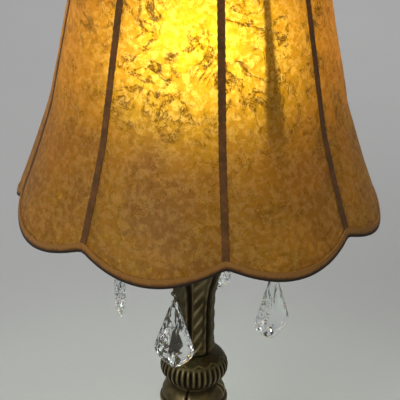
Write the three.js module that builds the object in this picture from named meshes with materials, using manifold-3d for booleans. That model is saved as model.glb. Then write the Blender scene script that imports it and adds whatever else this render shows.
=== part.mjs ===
// A table lamp in millimetres, +Z up, with its origin on the table under the middle of the foot.
// A cast bronze column carries four arms with crystal drops, a harp, a socket and a scalloped bell shade.
// Angles round the lamp are counted from its front (-Y) towards +X.

import * as THREE from 'three';
import { mergeVertices } from 'three/addons/utils/BufferGeometryUtils.js';
import Module from 'manifold-3d';

const wasm = await Module();
wasm.setup();

// Fits between pieces
const seatGap = 0.2;
const fitGap = 0.3;

// Threaded pipe that ties the castings together
const pipeRadius = 5;
const pipeWireway = 3.6;
const pipeTailLength = 1;
const pipeInSocket = 8;

// Felt pad, foot, cast-iron weight and the flanged nut under it
const padThickness = 2;
const padInset = 2;
const footRadius = 78;
const footPlinthHeight = 12;
const footStep = 5;
const footStepRise = 2.5;
const footHeight = 40;
const footNeckRadius = 20;
const footWall = 4;
const footLobes = 8;
const footLobeDepth = 1.6;
const weightRadius = 54;
const weightHeight = 6;
const weightHubRadius = 13;
const nutRadius = 9;
const nutHeight = 5;
const nutFlangeRadius = 13;
const nutFlangeThickness = 1.8;

// Cord bushing in the back of the foot
const bushingRadius = 3.5;
const bushingFlangeRadius = 5;
const bushingFlangeThickness = 1.8;
const bushingBore = 2.4;
const bushingLength = 9;

// Turned stem and lobed urn
const stemHeight = 27.4;
const stemWaistRadius = 11;
const stemRingRadius = 17;
const urnHeight = 72;
const urnTopRadius = 35;
const urnWaistRadius = 14;
const urnBellyRadius = 33;
const urnLobes = 8;
const urnLobeDepth = 1.3;

// Beaded ring and creased shoulder
const beadRingRadius = 37;
const beadRingHeight = 9.6;
const beadCount = 24;
const beadDepth = 1.6;
const shoulderHeight = 16.3;
const shoulderTopRadius = 24;
const shoulderCreases = 4;
const shoulderCreaseDepth = 1.8;

// Gadrooned knob: a flattened ball
const knobRadius = 36.6;
const knobHalfHeight = 24;
const knobNeckRadius = 23;
const gadroonCount = 36;
const gadroonDepth = 1.5;
const gadroonTopLatitude = 36;
const gadroonBottomLatitude = -30;

// Leaf column
const columnHeight = 107.6;
const columnRadius = 19.7;
const columnLipRadius = 34;
const columnFlareStart = 0.45;
const columnDish = 4;
const columnLipWall = 5;
const leafCount = 6;
const leafTurn = -6;
const leafRibRise = 1.2;
const leafGrooveDepth = 1.5;
const leafBarbDepth = 0.9;
const leafBarbPitch = 16;
const leafTipRise = 2;

// Arm hub and its scroll arms
const hubRadius = 15;
const hubHeight = 24;
const hubRimRadius = 18;
const armCount = 4;
const armTurn = -14;
const armRootRadius = 4;
const armTipRadius = 2.1;
const armReach = 83;
const armCrest = 15;
const eyeRingRadius = 3.4;
const eyeWireRadius = 1.2;

// Hooks and crystals
const hookWireRadius = 0.7;
const hookTopRadius = 3;
const hookBottomRadius = 5;
const hookLength = 15;
const crystalLength = 76;
const crystalWidth = 41;
const crystalThickness = 11.6;
const crystalEdge = 1.8;
const crystalNeckThickness = 3.4;
const crystalNeckWidth = 5.6;
const crystalHoleRadius = 1.9;
const crystalHoleCover = 2.4;
// How far each crystal has turned away from the lamp's middle on its hook, arm by arm
const crystalTurns = [0, -46, 0, 21];

// Riser sleeve, check ring, harp saddle and harp
const riserHeight = 112;
const riserRadius = 11;
const riserWall = 1.2;
const riserCollarRadius = 13.5;
const riserCollarHeight = 6;
const checkRingRadius = 14;
const checkRingHeight = 6;
const harpTurn = 37;
const harpHeight = 203;
const harpWireRadius = 1.6;
const harpFootReach = 35;
const harpBowReach = 58;
const harpLegLength = 30;
const saddleThickness = 1.5;
const saddleWidth = 12;
const saddleTabWidth = 3;
const saddleTabHeight = 14;
const ferruleBore = 3.4;
const ferruleWall = 0.8;
const ferruleHeight = 13;
const studRadius = 3.2;
const studHeight = 14;
const studCollarRadius = 7;
const studCollarHeight = 2;

// Socket with its turn key
const socketHeight = 62;
const socketCapRadius = 18.4;
const socketCapHeight = 20;
const socketCapGrip = 4.5;
const socketSheet = 0.8;
const socketNeckRadius = 8;
const socketFloor = 29.5;
const insulatorWall = 0.7;
const keyHeight = 24;
const keyShaftRadius = 1.5;
const keyReach = 30;
const keyPaddleRadius = 5.5;
const keyPaddleThickness = 2.2;
const keyTurn = 115;

// Bulb
const bulbBaseRadius = 13;
const bulbBaseHeight = 24;
const bulbTipRadius = 4;
const bulbRadius = 30;
const bulbLength = 110;
const bulbNeckRadius = 12.4;

// Bell shade
const shadePanels = 8;
const shadeTurn = 9;
const shadeHeight = 288;
const shadeTopRadius = 105;
const shadeRimRadius = 176.5;
const skirtFlare = 14;
const skirtHeight = 100;
const skirtCurve = 1.25;
const scallopDrop = 17;
const panelBelly = 0.03;
const panelThickness = 1;
const panelSeam = 0.6;
const panelColumns = 6;
const trimWidth = 6;
const trimThickness = 0.8;
const edgeTrimHeight = 7.5;
const edgeTrimThickness = 1.2;
const frameWireRadius = 1.4;
const spiderRecess = 24;
const spiderArms = 4;
const spiderHoleRadius = 3.5;
const spiderWasherRadius = 12;
const spiderWasherThickness = 2;

// Finial
const finialHeight = 43;
const finialRadius = 11;
const finialBore = 11;

// Colours and finishes
const finishes = {
  bronze: { color: 0x3c3923, metalness: 0.85, roughness: 0.42 },
  iron: { color: 0x2b2b2d, metalness: 0.7, roughness: 0.7 },
  brass: { color: 0xa98a4a, metalness: 0.9, roughness: 0.35 },
  steel: { color: 0x9a9a98, metalness: 0.9, roughness: 0.4 },
  wire: { color: 0x1d1a17, metalness: 0.8, roughness: 0.5 },
  felt: { color: 0x23301f, metalness: 0, roughness: 1 },
  phenolic: { color: 0x1c1a18, metalness: 0, roughness: 0.5 },
  card: { color: 0x8a7a5a, metalness: 0, roughness: 0.9 },
  glow: { color: 0xfff3c8, metalness: 0, roughness: 0.4 },
  crystal: { color: 0xeef2f2, metalness: 0, roughness: 0.05 },
  parchment: { color: 0xd9a94a, metalness: 0, roughness: 0.7 },
  ribbon: { color: 0x4c2f1c, metalness: 0, roughness: 0.8 },
};

// Heights of the stacked pieces, from the table up
const bore = pipeRadius + fitGap;
const footBottom = padThickness + seatGap;
const footTop = footBottom + footHeight;
const stemBottom = footTop + seatGap;
const stemTop = stemBottom + stemHeight;
const urnBottom = stemTop + seatGap;
const urnTop = urnBottom + urnHeight;
const beadBottom = urnTop + seatGap;
const beadTop = beadBottom + beadRingHeight;
const shoulderBottom = beadTop + seatGap;
const shoulderTop = shoulderBottom + shoulderHeight;
const knobBottom = shoulderTop + seatGap;
const knobMiddle = knobBottom + knobHalfHeight * Math.sqrt(1 - (knobNeckRadius / knobRadius) ** 2);
const knobTop = knobMiddle + knobHalfHeight * Math.sqrt(1 - (columnRadius / knobRadius) ** 2);
const columnBottom = knobTop + seatGap;
const columnTop = columnBottom + columnHeight;
const hubBottom = columnTop - columnDish + seatGap;
const hubTop = hubBottom + hubHeight;
const riserBottom = hubTop + seatGap;
const riserTop = riserBottom + riserHeight;
const checkRingBottom = riserTop + seatGap;
const checkRingTop = checkRingBottom + checkRingHeight;
const saddleBottom = checkRingTop + seatGap;
const saddleTop = saddleBottom + saddleThickness;
const socketBottom = saddleTop + seatGap;
const harpTop = saddleTop + harpHeight;
const studBottom = harpTop + fitGap;
const spiderBottom = studBottom + studCollarHeight + seatGap;
const spiderTop = spiderBottom + spiderWasherThickness;
const shadeTop = spiderBottom + spiderRecess;
const shadeRim = shadeTop - shadeHeight;
const finialBottom = spiderTop + seatGap;
const pipeBottom = padThickness + pipeTailLength;
const pipeTop = socketBottom + pipeInSocket;

// General helpers

const lamp = new THREE.Group();

function addPiece(name, geometry, finish, parent = lamp) {
  const mesh = new THREE.Mesh(geometry, new THREE.MeshStandardMaterial(finishes[finish]));
  mesh.name = name;
  parent.add(mesh);
  return mesh;
}

function around(degrees, radius, height) {
  const angle = THREE.MathUtils.degToRad(degrees);
  return new THREE.Vector3(radius * Math.sin(angle), -radius * Math.cos(angle), height);
}

// Shared corners, no flat slivers and every face turned outward
function closed(geometry) {
  const bare = geometry.clone();
  bare.deleteAttribute('normal');
  bare.deleteAttribute('uv');
  const welded = mergeVertices(bare, 1e-4);
  const position = welded.attributes.position;
  const corners = welded.index.array;
  const faces = [];
  let volume = 0;
  for (let i = 0; i < corners.length; i += 3) {
    const [a, b, c] = [corners[i], corners[i + 1], corners[i + 2]];
    if (a === b || b === c || c === a) continue;
    faces.push(a, b, c);
    const p = new THREE.Vector3().fromBufferAttribute(position, a);
    const q = new THREE.Vector3().fromBufferAttribute(position, b);
    const r = new THREE.Vector3().fromBufferAttribute(position, c);
    volume += p.dot(q.cross(r));
  }
  welded.setIndex(volume < 0 ? faces.reverse() : faces);
  return welded;
}

// A closed skin through rings of points: capped at its ends, or joined up when the rings go round
function loft(rings, goesRound = false) {
  const count = rings[0].length;
  const faces = [];
  const spans = goesRound ? rings.length : rings.length - 1;
  for (let i = 0; i < spans; i += 1) {
    const here = i * count;
    const next = ((i + 1) % rings.length) * count;
    for (let j = 0; j < count; j += 1) {
      const k = (j + 1) % count;
      faces.push(here + j, here + k, next + k);
      faces.push(here + j, next + k, next + j);
    }
  }
  if (!goesRound) {
    const last = (rings.length - 1) * count;
    for (let j = 1; j < count - 1; j += 1) {
      faces.push(0, j + 1, j);
      faces.push(last, last + j, last + j + 1);
    }
  }
  const geometry = new THREE.BufferGeometry().setFromPoints(rings.flat());
  geometry.setIndex(faces);
  return closed(geometry);
}

// A turned piece from a section [radius, height] that closes on itself, with relief cut into it
function turned(section, segments, relief = (radius) => radius, startAngle = 0) {
  const rings = [];
  for (let i = 0; i < segments; i += 1) {
    const angle = startAngle + (360 * i) / segments;
    rings.push(section.map(([radius, height]) => around(angle, relief(radius, height, angle), height)));
  }
  return loft(rings, true);
}

// A solid turned piece whose outline starts and ends on the axis
function turnedSolid(outline, segments) {
  const points = outline.map(([radius, height]) => new THREE.Vector2(radius, height));
  return closed(new THREE.LatheGeometry(points, segments).rotateX(Math.PI / 2));
}

function rod(path, radius, sides, steps) {
  const section = new THREE.Shape();
  for (let i = 0; i < sides; i += 1) {
    const angle = (2 * Math.PI * i) / sides;
    section[i ? 'lineTo' : 'moveTo'](radius * Math.cos(angle), radius * Math.sin(angle));
  }
  return closed(new THREE.ExtrudeGeometry(section, { steps, extrudePath: path }));
}

// A round pin from one point to another
function pin(from, to, radius, sides) {
  return rod(new THREE.LineCurve3(from, to), radius, sides, 1);
}

function toManifold(geometry) {
  return new wasm.Manifold(new wasm.Mesh({
    numProp: 3,
    vertProperties: geometry.attributes.position.array,
    triVerts: new Uint32Array(geometry.index.array),
  }));
}

function toGeometry(manifold) {
  const mesh = manifold.getMesh();
  const geometry = new THREE.BufferGeometry();
  geometry.setAttribute('position', new THREE.BufferAttribute(mesh.vertProperties, 3));
  geometry.setIndex(new THREE.BufferAttribute(mesh.triVerts, 1));
  return geometry;
}

function joined(pieces) {
  return toGeometry(pieces.map(toManifold).reduce((whole, piece) => whole.add(piece)));
}

function cut(body, tools) {
  return toGeometry(tools.map(toManifold).reduce((rest, tool) => rest.subtract(tool), toManifold(body)));
}

// A solid of the column with the hole for the pipe drilled through it
function drilled(body, low, high) {
  const drill = pin(new THREE.Vector3(0, 0, low - 1), new THREE.Vector3(0, 0, high + 1), bore, 12);
  return cut(body, [drill]);
}

const wave = (angle, count) => Math.cos(THREE.MathUtils.degToRad(angle * count));

// Felt pad and foot with a hollow underside

addPiece('felt_pad', turnedSolid([
  [0, 0],
  [footRadius - padInset, 0],
  [footRadius - padInset, padThickness],
  [0, padThickness],
], 32), 'felt');

const plinthTop = footBottom + footPlinthHeight;
const footCurve = new THREE.CubicBezierCurve(
  new THREE.Vector2(footRadius - footStep, plinthTop + footStepRise),
  new THREE.Vector2(footRadius * 0.76, footTop - footHeight * 0.3),
  new THREE.Vector2(footNeckRadius * 1.4, footBottom + footHeight * 0.46),
  new THREE.Vector2(footNeckRadius, footTop),
);
const footDrop = footWall * 1.3;

// Height of the foot's ceiling over a radius inside it
function footCeiling(radius) {
  const steps = 200;
  for (let i = 1; i <= steps; i += 1) {
    const point = footCurve.getPoint(i / steps);
    if (point.x <= radius) return point.y - footDrop;
  }
  return footTop - footDrop;
}

const footOutside = footCurve.getPoints(4).map((point) => [point.x, point.y]);
const footInside = footCurve.getPoints(3).reverse().map((point) => [point.x - footWall, point.y - footDrop]);
const footLobed = (radius, height, angle) => {
  const share = (height - plinthTop - footStepRise) / (footTop - plinthTop - footStepRise);
  const onSlope = radius > footNeckRadius && share > 0 && share < 1;
  return onSlope ? radius + footLobeDepth * Math.sin(Math.PI * share) * wave(angle, footLobes) : radius;
};
const bushingHeight = footBottom + footPlinthHeight / 2;
const bushingHole = pin(
  around(180, footRadius - footStep - footWall * 2, bushingHeight),
  around(180, footRadius + footWall, bushingHeight),
  bushingRadius + fitGap,
  12,
);
addPiece('foot', cut(drilled(turned([
  [0, footTop],
  [0, footTop - footDrop],
  ...footInside,
  [footRadius - footWall, plinthTop - footWall],
  [footRadius - footWall, footBottom],
  [footRadius, footBottom],
  [footRadius, plinthTop],
  ...footOutside,
], 32, footLobed), footBottom, footTop), [bushingHole]), 'bronze');

const bushingProfile = [
  [bushingBore, 0],
  [bushingRadius, 0],
  [bushingRadius, bushingLength],
  [bushingFlangeRadius, bushingLength],
  [bushingFlangeRadius, bushingLength + bushingFlangeThickness],
  [bushingBore, bushingLength + bushingFlangeThickness],
];
const bushing = addPiece('cord_bushing', turned(bushingProfile, 10), 'phenolic');
bushing.rotation.x = -Math.PI / 2;
bushing.position.set(0, footRadius + fitGap - bushingLength, bushingHeight);

// The flanged nut clamps the weight and the foot from below

const nutBottom = pipeBottom + seatGap;
const nutTop = nutBottom + nutHeight + nutFlangeThickness;
const weightBottom = nutTop + seatGap;
const weightTop = Math.min(weightBottom + weightHeight, footCeiling(weightRadius) - fitGap);
addPiece('base_weight', drilled(turned([
  [0, weightBottom],
  [weightRadius, weightBottom],
  [weightRadius, weightTop],
  [weightHubRadius, weightTop],
  [weightHubRadius, footTop - footDrop - fitGap],
  [0, footTop - footDrop - fitGap],
], 20), weightBottom, footTop), 'iron');
const hexagon = (radius, height, angle) => (radius === nutRadius && angle % 60 ? radius * Math.cos(Math.PI / 6) : radius);
addPiece('bottom_nut', turned([
  [bore, nutBottom],
  [nutRadius, nutBottom],
  [nutRadius, nutBottom + nutHeight],
  [nutFlangeRadius, nutBottom + nutHeight],
  [nutFlangeRadius, nutTop],
  [bore, nutTop],
], 12, hexagon), 'steel');

addPiece('threaded_pipe', turned([
  [pipeWireway, pipeBottom],
  [pipeRadius, pipeBottom],
  [pipeRadius, pipeTop],
  [pipeWireway, pipeTop],
], 12), 'steel');

// Lower stem and urn

addPiece('lower_stem', drilled(turned([
  [0, stemBottom],
  [footNeckRadius, stemBottom],
  [footNeckRadius, stemBottom + stemHeight * 0.14],
  [stemWaistRadius, stemBottom + stemHeight * 0.32],
  [stemWaistRadius, stemBottom + stemHeight * 0.5],
  [stemRingRadius, stemBottom + stemHeight * 0.6],
  [stemRingRadius, stemBottom + stemHeight * 0.75],
  [urnWaistRadius, stemBottom + stemHeight * 0.86],
  [urnWaistRadius, stemTop],
  [0, stemTop],
], 18), stemBottom, stemTop), 'bronze');

const urnLobed = (radius, height, angle) => {
  const share = (height - urnBottom) / urnHeight;
  const onBowl = radius > 0 && share > 0.2 && share < 0.8;
  return onBowl ? radius + urnLobeDepth * wave(angle, urnLobes) : radius;
};
addPiece('urn_bowl', drilled(turned([
  [0, urnBottom],
  [urnWaistRadius, urnBottom],
  [urnWaistRadius, urnBottom + urnHeight * 0.1],
  [urnBellyRadius * 0.78, urnBottom + urnHeight * 0.3],
  [urnBellyRadius, urnBottom + urnHeight * 0.52],
  [urnBellyRadius * 0.95, urnBottom + urnHeight * 0.72],
  [urnBellyRadius * 0.76, urnBottom + urnHeight * 0.86],
  [urnTopRadius, urnBottom + urnHeight * 0.95],
  [urnTopRadius, urnTop],
  [0, urnTop],
], 32, urnLobed), urnBottom, urnTop), 'bronze');

// Beaded ring and creased shoulder

const beaded = (radius, height, angle) => {
  const onBand = radius > beadRingRadius - beadDepth / 2;
  return onBand ? radius - beadDepth * (0.5 - 0.5 * wave(angle, beadCount)) : radius;
};
addPiece('bead_ring', drilled(turned([
  [0, beadBottom],
  [beadRingRadius - beadDepth * 1.5, beadBottom],
  [beadRingRadius, beadBottom + beadRingHeight * 0.3],
  [beadRingRadius, beadBottom + beadRingHeight * 0.7],
  [beadRingRadius - beadDepth * 1.5, beadTop],
  [0, beadTop],
], beadCount * 2, beaded), beadBottom, beadTop), 'bronze');

const creased = (radius, height, angle) => {
  const share = (height - shoulderBottom) / shoulderHeight;
  const inCrease = Math.abs(wave(angle - armTurn, shoulderCreases) - 1) < 1e-6;
  const onDome = radius > 0 && share > 0.05 && share < 0.95;
  return inCrease && onDome ? radius - shoulderCreaseDepth : radius;
};
const shoulderFoot = beadRingRadius - beadDepth * 1.5;
const shoulderDome = new THREE.QuadraticBezierCurve(
  new THREE.Vector2(shoulderFoot, shoulderBottom),
  new THREE.Vector2(shoulderFoot, shoulderBottom + shoulderHeight * 0.7),
  new THREE.Vector2(shoulderTopRadius, shoulderTop - shoulderHeight * 0.14),
);
addPiece('shoulder', drilled(turned([
  [0, shoulderTop],
  [0, shoulderBottom],
  ...shoulderDome.getPoints(4).map((point) => [point.x, point.y]),
  [shoulderTopRadius, shoulderTop],
], 32, creased, armTurn), shoulderBottom, shoulderTop), 'bronze');

// Gadrooned knob

const onKnob = (latitude) => {
  const angle = THREE.MathUtils.degToRad(latitude);
  return [knobRadius * Math.cos(angle), knobMiddle + knobHalfHeight * Math.sin(angle)];
};
const knobBand = [0.02, 0.35, 0.66, 0.98].map((share) => (
  onKnob(THREE.MathUtils.lerp(gadroonBottomLatitude, gadroonTopLatitude, share))
));
const gadrooned = (radius, height, angle) => {
  const low = onKnob(gadroonBottomLatitude)[1];
  const high = onKnob(gadroonTopLatitude)[1];
  const share = (height - low) / (high - low);
  const onBand = radius > 0 && share > 0 && share < 1;
  return onBand ? radius - gadroonDepth * (0.5 - 0.5 * wave(angle, gadroonCount)) : radius;
};
const knobUndercut = onKnob(gadroonBottomLatitude - 4);
addPiece('knob', drilled(turned([
  [0, knobTop],
  [0, knobBottom],
  [knobNeckRadius, knobBottom],
  [knobUndercut[0] - gadroonDepth, knobUndercut[1]],
  ...knobBand,
  onKnob(gadroonTopLatitude + 3),
  [columnRadius, knobTop],
], gadroonCount * 2, gadrooned), knobBottom, knobTop), 'bronze');

// Leaf column: long leaves with a midrib, slanting barbs and raised borders

const columnOutline = (share) => {
  const flare = Math.max(0, (share - columnFlareStart) / (1 - columnFlareStart));
  return columnRadius + (columnLipRadius - columnRadius) * flare ** 2.3;
};
const dishRadius = columnLipRadius - columnLipWall;
const leafSpan = 360 / leafCount;
const leafColumns = 6;
const leafRows = Math.round((2 * columnHeight) / leafBarbPitch);

// Relief at a place on the column: offMidrib runs from 0 on a leaf's midrib to 1 on its border,
// and a barb climbs by half its pitch for every third of the way out
function leafRelief(angle, row) {
  const turn = (angle - leafTurn) / leafSpan;
  const offMidrib = 2 * Math.abs(turn - Math.round(turn));
  if (offMidrib > 0.9) return leafRibRise;
  if (offMidrib < 0.1) return leafRibRise * 0.7;
  const barb = Math.cos(Math.PI * (row - Math.round(offMidrib * 3)));
  return leafBarbDepth * barb - (offMidrib > 0.5 ? leafGrooveDepth / 2 : 0);
}

const columnSection = [];
for (let row = 0; row <= leafRows; row += 1) {
  const share = row / leafRows;
  columnSection.push([columnOutline(share), columnBottom + columnHeight * share]);
}
const leafy = (radius, height, angle) => {
  const row = Math.round((leafRows * (height - columnBottom)) / columnHeight);
  const onLeaves = radius > dishRadius || (radius >= columnRadius && row < leafRows);
  return onLeaves && row > 0 ? radius + leafRelief(angle, row) : radius;
};
addPiece('leaf_column', drilled(turned([
  [0, columnTop - columnDish],
  [0, columnBottom],
  ...columnSection,
  [dishRadius, columnTop - leafTipRise],
  [hubRimRadius + fitGap, columnTop - columnDish],
], leafCount * leafColumns, leafy, leafTurn), columnBottom, columnTop), 'bronze');

// Arm hub and the four scroll arms, each with a cast eye at its end

addPiece('arm_hub', drilled(turned([
  [0, hubBottom],
  [hubRimRadius, hubBottom],
  [hubRimRadius, hubBottom + hubHeight * 0.12],
  [hubRadius, hubBottom + hubHeight * 0.24],
  [hubRadius, hubBottom + hubHeight * 0.76],
  [hubRimRadius, hubBottom + hubHeight * 0.86],
  [hubRimRadius, hubTop - hubHeight * 0.06],
  [riserCollarRadius, hubTop],
  [0, hubTop],
], 20), hubBottom, hubTop), 'bronze');

const armRootHeight = hubBottom + hubHeight / 2;
const eyeHeight = armRootHeight - 2;
const armPath = new THREE.CatmullRomCurve3([
  new THREE.Vector3(hubRadius + fitGap, 0, armRootHeight),
  new THREE.Vector3(hubRadius + armReach * 0.17, 0, armRootHeight - armCrest * 0.03),
  new THREE.Vector3(armReach * 0.54, 0, armRootHeight + armCrest * 0.35),
  new THREE.Vector3(armReach * 0.72, 0, armRootHeight + armCrest * 0.95),
  new THREE.Vector3(armReach * 0.9, 0, armRootHeight + armCrest),
  new THREE.Vector3(armReach * 1.02, 0, armRootHeight + armCrest * 0.55),
  new THREE.Vector3(armReach, 0, eyeHeight + eyeRingRadius),
]);

// A round bar along a curve in the XZ plane whose radius falls from its root to its tip
function taperedArm(path, steps, sides) {
  const rings = [];
  for (let i = 0; i <= steps; i += 1) {
    const share = i / steps;
    const centre = path.getPointAt(share);
    const along = path.getTangentAt(share);
    const across = new THREE.Vector3(-along.z, 0, along.x);
    const radius = THREE.MathUtils.lerp(armRootRadius, armTipRadius, share);
    const ring = [];
    for (let j = 0; j < sides; j += 1) {
      const angle = (2 * Math.PI * j) / sides;
      const point = centre.clone().addScaledVector(across, radius * Math.cos(angle));
      point.y = radius * Math.sin(angle);
      ring.push(point);
    }
    rings.push(ring);
  }
  return loft(rings);
}

const armSolid = joined([
  taperedArm(armPath, 10, 5),
  closed(new THREE.TorusGeometry(eyeRingRadius, eyeWireRadius, 4, 8)
    .rotateX(Math.PI / 2)
    .translate(armReach, 0, eyeHeight)),
]);

// Hook: an S of wire whose lower bow is turned to face the way its crystal does.
// Its own zero is the wire's middle where it lies in the eye.
function hookSolid(turn) {
  const facing = new THREE.Vector3(1, 0, 0).applyAxisAngle(new THREE.Vector3(0, 0, 1), turn);
  const sideways = new THREE.Vector3(0, 1, 0);
  const points = [];
  const arc = (direction, centreHeight, radius, degrees) => {
    const angle = THREE.MathUtils.degToRad(degrees);
    const point = direction.clone().multiplyScalar(radius * Math.cos(angle));
    point.z = centreHeight + radius * Math.sin(angle);
    points.push(point);
  };
  for (const degrees of [-25, 45, 90, 135, 190]) arc(sideways, -hookTopRadius, hookTopRadius, degrees);
  points.push(new THREE.Vector3(0, 0, (-hookTopRadius - hookLength + hookBottomRadius) / 2));
  for (const degrees of [0, -45, -90, -135, -190]) {
    arc(facing, hookBottomRadius - hookLength, hookBottomRadius, degrees);
  }
  return rod(new THREE.CatmullRomCurve3(points), hookWireRadius, 4, 18);
}

// Crystal: a flat drop, widest three quarters of the way down, with bevelled facets and a hanging hole.
// Its own zero is the middle of the hook's wire in the hole, and its flat faces look along X.
const hookRise = hookBottomRadius - Math.sqrt(hookBottomRadius ** 2 - (crystalNeckThickness / 2) ** 2);
const crystalHoleHeight = hookWireRadius + hookRise + fitGap - crystalHoleRadius;
const crystalTop = crystalHoleHeight + crystalHoleRadius + crystalHoleCover;
function crystalSolid() {
  const levels = [
    { down: 0, width: crystalNeckWidth / crystalWidth },
    { down: 0.11, width: 0.28 },
    { down: 0.36, width: 0.6 },
    { down: 0.65, width: 0.95 },
    { down: 0.75, width: 1 },
    { down: 0.86, width: 0.78 },
    { down: 0.96, width: 0.3 },
    { down: 1, width: 0.05 },
  ];
  const neckShare = crystalNeckWidth / crystalWidth;
  const rings = levels.map(({ down, width }) => {
    const height = crystalTop - crystalLength * down;
    const half = (crystalWidth * width) / 2;
    const swell = Math.max(0, (width - neckShare) / (1 - neckShare)) ** 0.7;
    const full = down > 0.95 ? crystalEdge : crystalNeckThickness;
    const face = THREE.MathUtils.lerp(full, crystalThickness, swell) / 2;
    const edge = Math.min(crystalEdge / 2, half);
    return [
      [face, -half * 0.45], [face, half * 0.45], [edge, half], [-edge, half],
      [-face, half * 0.45], [-face, -half * 0.45], [-edge, -half], [edge, -half],
    ].map(([x, y]) => new THREE.Vector3(x, y, height));
  });
  const hole = pin(
    new THREE.Vector3(-crystalThickness, 0, crystalHoleHeight),
    new THREE.Vector3(crystalThickness, 0, crystalHoleHeight),
    crystalHoleRadius,
    8,
  );
  return cut(loft(rings), [hole]);
}

const hookHeight = eyeHeight - eyeRingRadius + eyeWireRadius + hookWireRadius + fitGap;
for (let i = 0; i < armCount; i += 1) {
  const branch = new THREE.Group();
  branch.rotation.z = THREE.MathUtils.degToRad(armTurn + (360 / armCount) * i - 90);
  lamp.add(branch);
  addPiece(`scroll_arm_${i + 1}`, armSolid, 'bronze', branch);
  const turn = THREE.MathUtils.degToRad(crystalTurns[i]);
  addPiece(`hook_${i + 1}`, hookSolid(turn), 'wire', branch).position.set(armReach, 0, hookHeight);
  const crystal = addPiece(`crystal_${i + 1}`, crystalSolid(), 'crystal', branch);
  crystal.position.set(armReach, 0, hookHeight - hookLength);
  crystal.rotation.z = turn;
}

// Riser sleeve and check ring

const collar = riserCollarRadius;
addPiece('riser_sleeve', turned([
  [riserRadius - riserWall, riserBottom],
  [collar, riserBottom],
  [collar, riserBottom + riserCollarHeight],
  [riserRadius, riserBottom + riserCollarHeight * 1.5],
  [riserRadius, riserTop],
  [riserRadius - riserWall, riserTop],
], 16), 'bronze');
addPiece('check_ring', drilled(turned([
  [0, checkRingBottom],
  [riserRadius, checkRingBottom],
  [checkRingRadius, checkRingBottom + checkRingHeight * 0.35],
  [checkRingRadius, checkRingBottom + checkRingHeight * 0.75],
  [checkRingRadius * 0.8, checkRingTop],
  [0, checkRingTop],
], 16), checkRingBottom, checkRingTop), 'brass');

// Harp saddle, harp, ferrules and stud: all in the harp's own plane, X across and Z up

const harpFrame = new THREE.Group();
harpFrame.rotation.z = THREE.MathUtils.degToRad(harpTurn - 90);
lamp.add(harpFrame);

const tabOutside = harpFootReach - harpWireRadius - fitGap;
const tabMiddle = tabOutside - saddleThickness / 2;
const saddlePlan = new THREE.Shape([
  new THREE.Vector2(-tabOutside, -saddleTabWidth / 2),
  new THREE.Vector2(-saddleWidth, -saddleWidth / 2),
  new THREE.Vector2(saddleWidth, -saddleWidth / 2),
  new THREE.Vector2(tabOutside, -saddleTabWidth / 2),
  new THREE.Vector2(tabOutside, saddleTabWidth / 2),
  new THREE.Vector2(saddleWidth, saddleWidth / 2),
  new THREE.Vector2(-saddleWidth, saddleWidth / 2),
  new THREE.Vector2(-tabOutside, saddleTabWidth / 2),
]);
saddlePlan.holes.push(new THREE.Path().absarc(0, 0, bore, 0, 2 * Math.PI, true));
const saddlePlate = new THREE.ExtrudeGeometry(saddlePlan, {
  depth: saddleThickness, bevelEnabled: false, curveSegments: 8,
}).translate(0, 0, saddleBottom);
const saddleTab = (side) => closed(new THREE.BoxGeometry(saddleThickness, saddleTabWidth, saddleTabHeight)
  .translate(side * tabMiddle, 0, saddleBottom + saddleTabHeight / 2));
addPiece('harp_saddle', joined([closed(saddlePlate), saddleTab(-1), saddleTab(1)]), 'brass', harpFrame);

const harpFoot = saddleTop + fitGap * 2;
const harpSide = (side) => [
  [harpFootReach, harpFoot],
  [harpFootReach, harpFoot + harpLegLength / 2],
  [harpFootReach, harpFoot + harpLegLength],
  [harpBowReach * 0.85, harpFoot + harpHeight * 0.29],
  [harpBowReach, harpFoot + harpHeight * 0.52],
  [harpBowReach * 0.9, harpFoot + harpHeight * 0.74],
  [harpBowReach * 0.5, harpTop - harpWireRadius - harpHeight * 0.06],
  [harpBowReach * 0.22, harpTop - harpWireRadius - harpHeight * 0.012],
].map(([x, z]) => new THREE.Vector3(side * x, 0, z));
const harpCrown = new THREE.Vector3(0, 0, harpTop - harpWireRadius);
const harpPath = new THREE.CatmullRomCurve3([...harpSide(-1), harpCrown, ...harpSide(1).reverse()]);
addPiece('harp', rod(harpPath, harpWireRadius, 5, 32), 'brass', harpFrame);

const ferruleMiddle = (harpFootReach + harpWireRadius + tabOutside - saddleThickness) / 2;
const ferruleBottom = saddleTop + fitGap * 4;
for (const [name, side] of [['ferrule_left', -1], ['ferrule_right', 1]]) {
  addPiece(name, turned([
    [ferruleBore, 0],
    [ferruleBore + ferruleWall, 0],
    [ferruleBore + ferruleWall, ferruleHeight],
    [ferruleBore, ferruleHeight],
  ], 12), 'brass', harpFrame).position.set(side * ferruleMiddle, 0, ferruleBottom);
}

addPiece('harp_stud', turnedSolid([
  [0, studBottom],
  [studCollarRadius, studBottom],
  [studCollarRadius, studBottom + studCollarHeight],
  [studRadius, studBottom + studCollarHeight],
  [studRadius, studBottom + studHeight],
  [0, studBottom + studHeight],
], 12), 'brass');

// Socket: cap, outer shell, paper insulator, interior with the lamp holder, and the turn key

const shellOutside = socketCapRadius - socketSheet - fitGap;
const shellInside = shellOutside - socketSheet;
const insulatorOutside = shellInside - fitGap;
const insulatorInside = insulatorOutside - insulatorWall;
const interiorOutside = insulatorInside - fitGap;
const holderInside = bulbBaseRadius + fitGap;
const capTop = socketBottom + socketCapHeight;
const socketTop = socketBottom + socketHeight;
const capShoulder = socketBottom + socketCapHeight * 0.72;
const capDish = socketBottom + socketCapHeight * 0.56;
const interiorBottom = Math.max(capDish, pipeTop) + fitGap * 3;
const interiorFloor = socketBottom + socketFloor;

const keyAxis = (radius) => around(keyTurn, radius, socketBottom + keyHeight);
const keyHole = pin(keyAxis(interiorOutside - 6), keyAxis(socketCapRadius * 2), keyShaftRadius + fitGap, 8);

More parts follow.
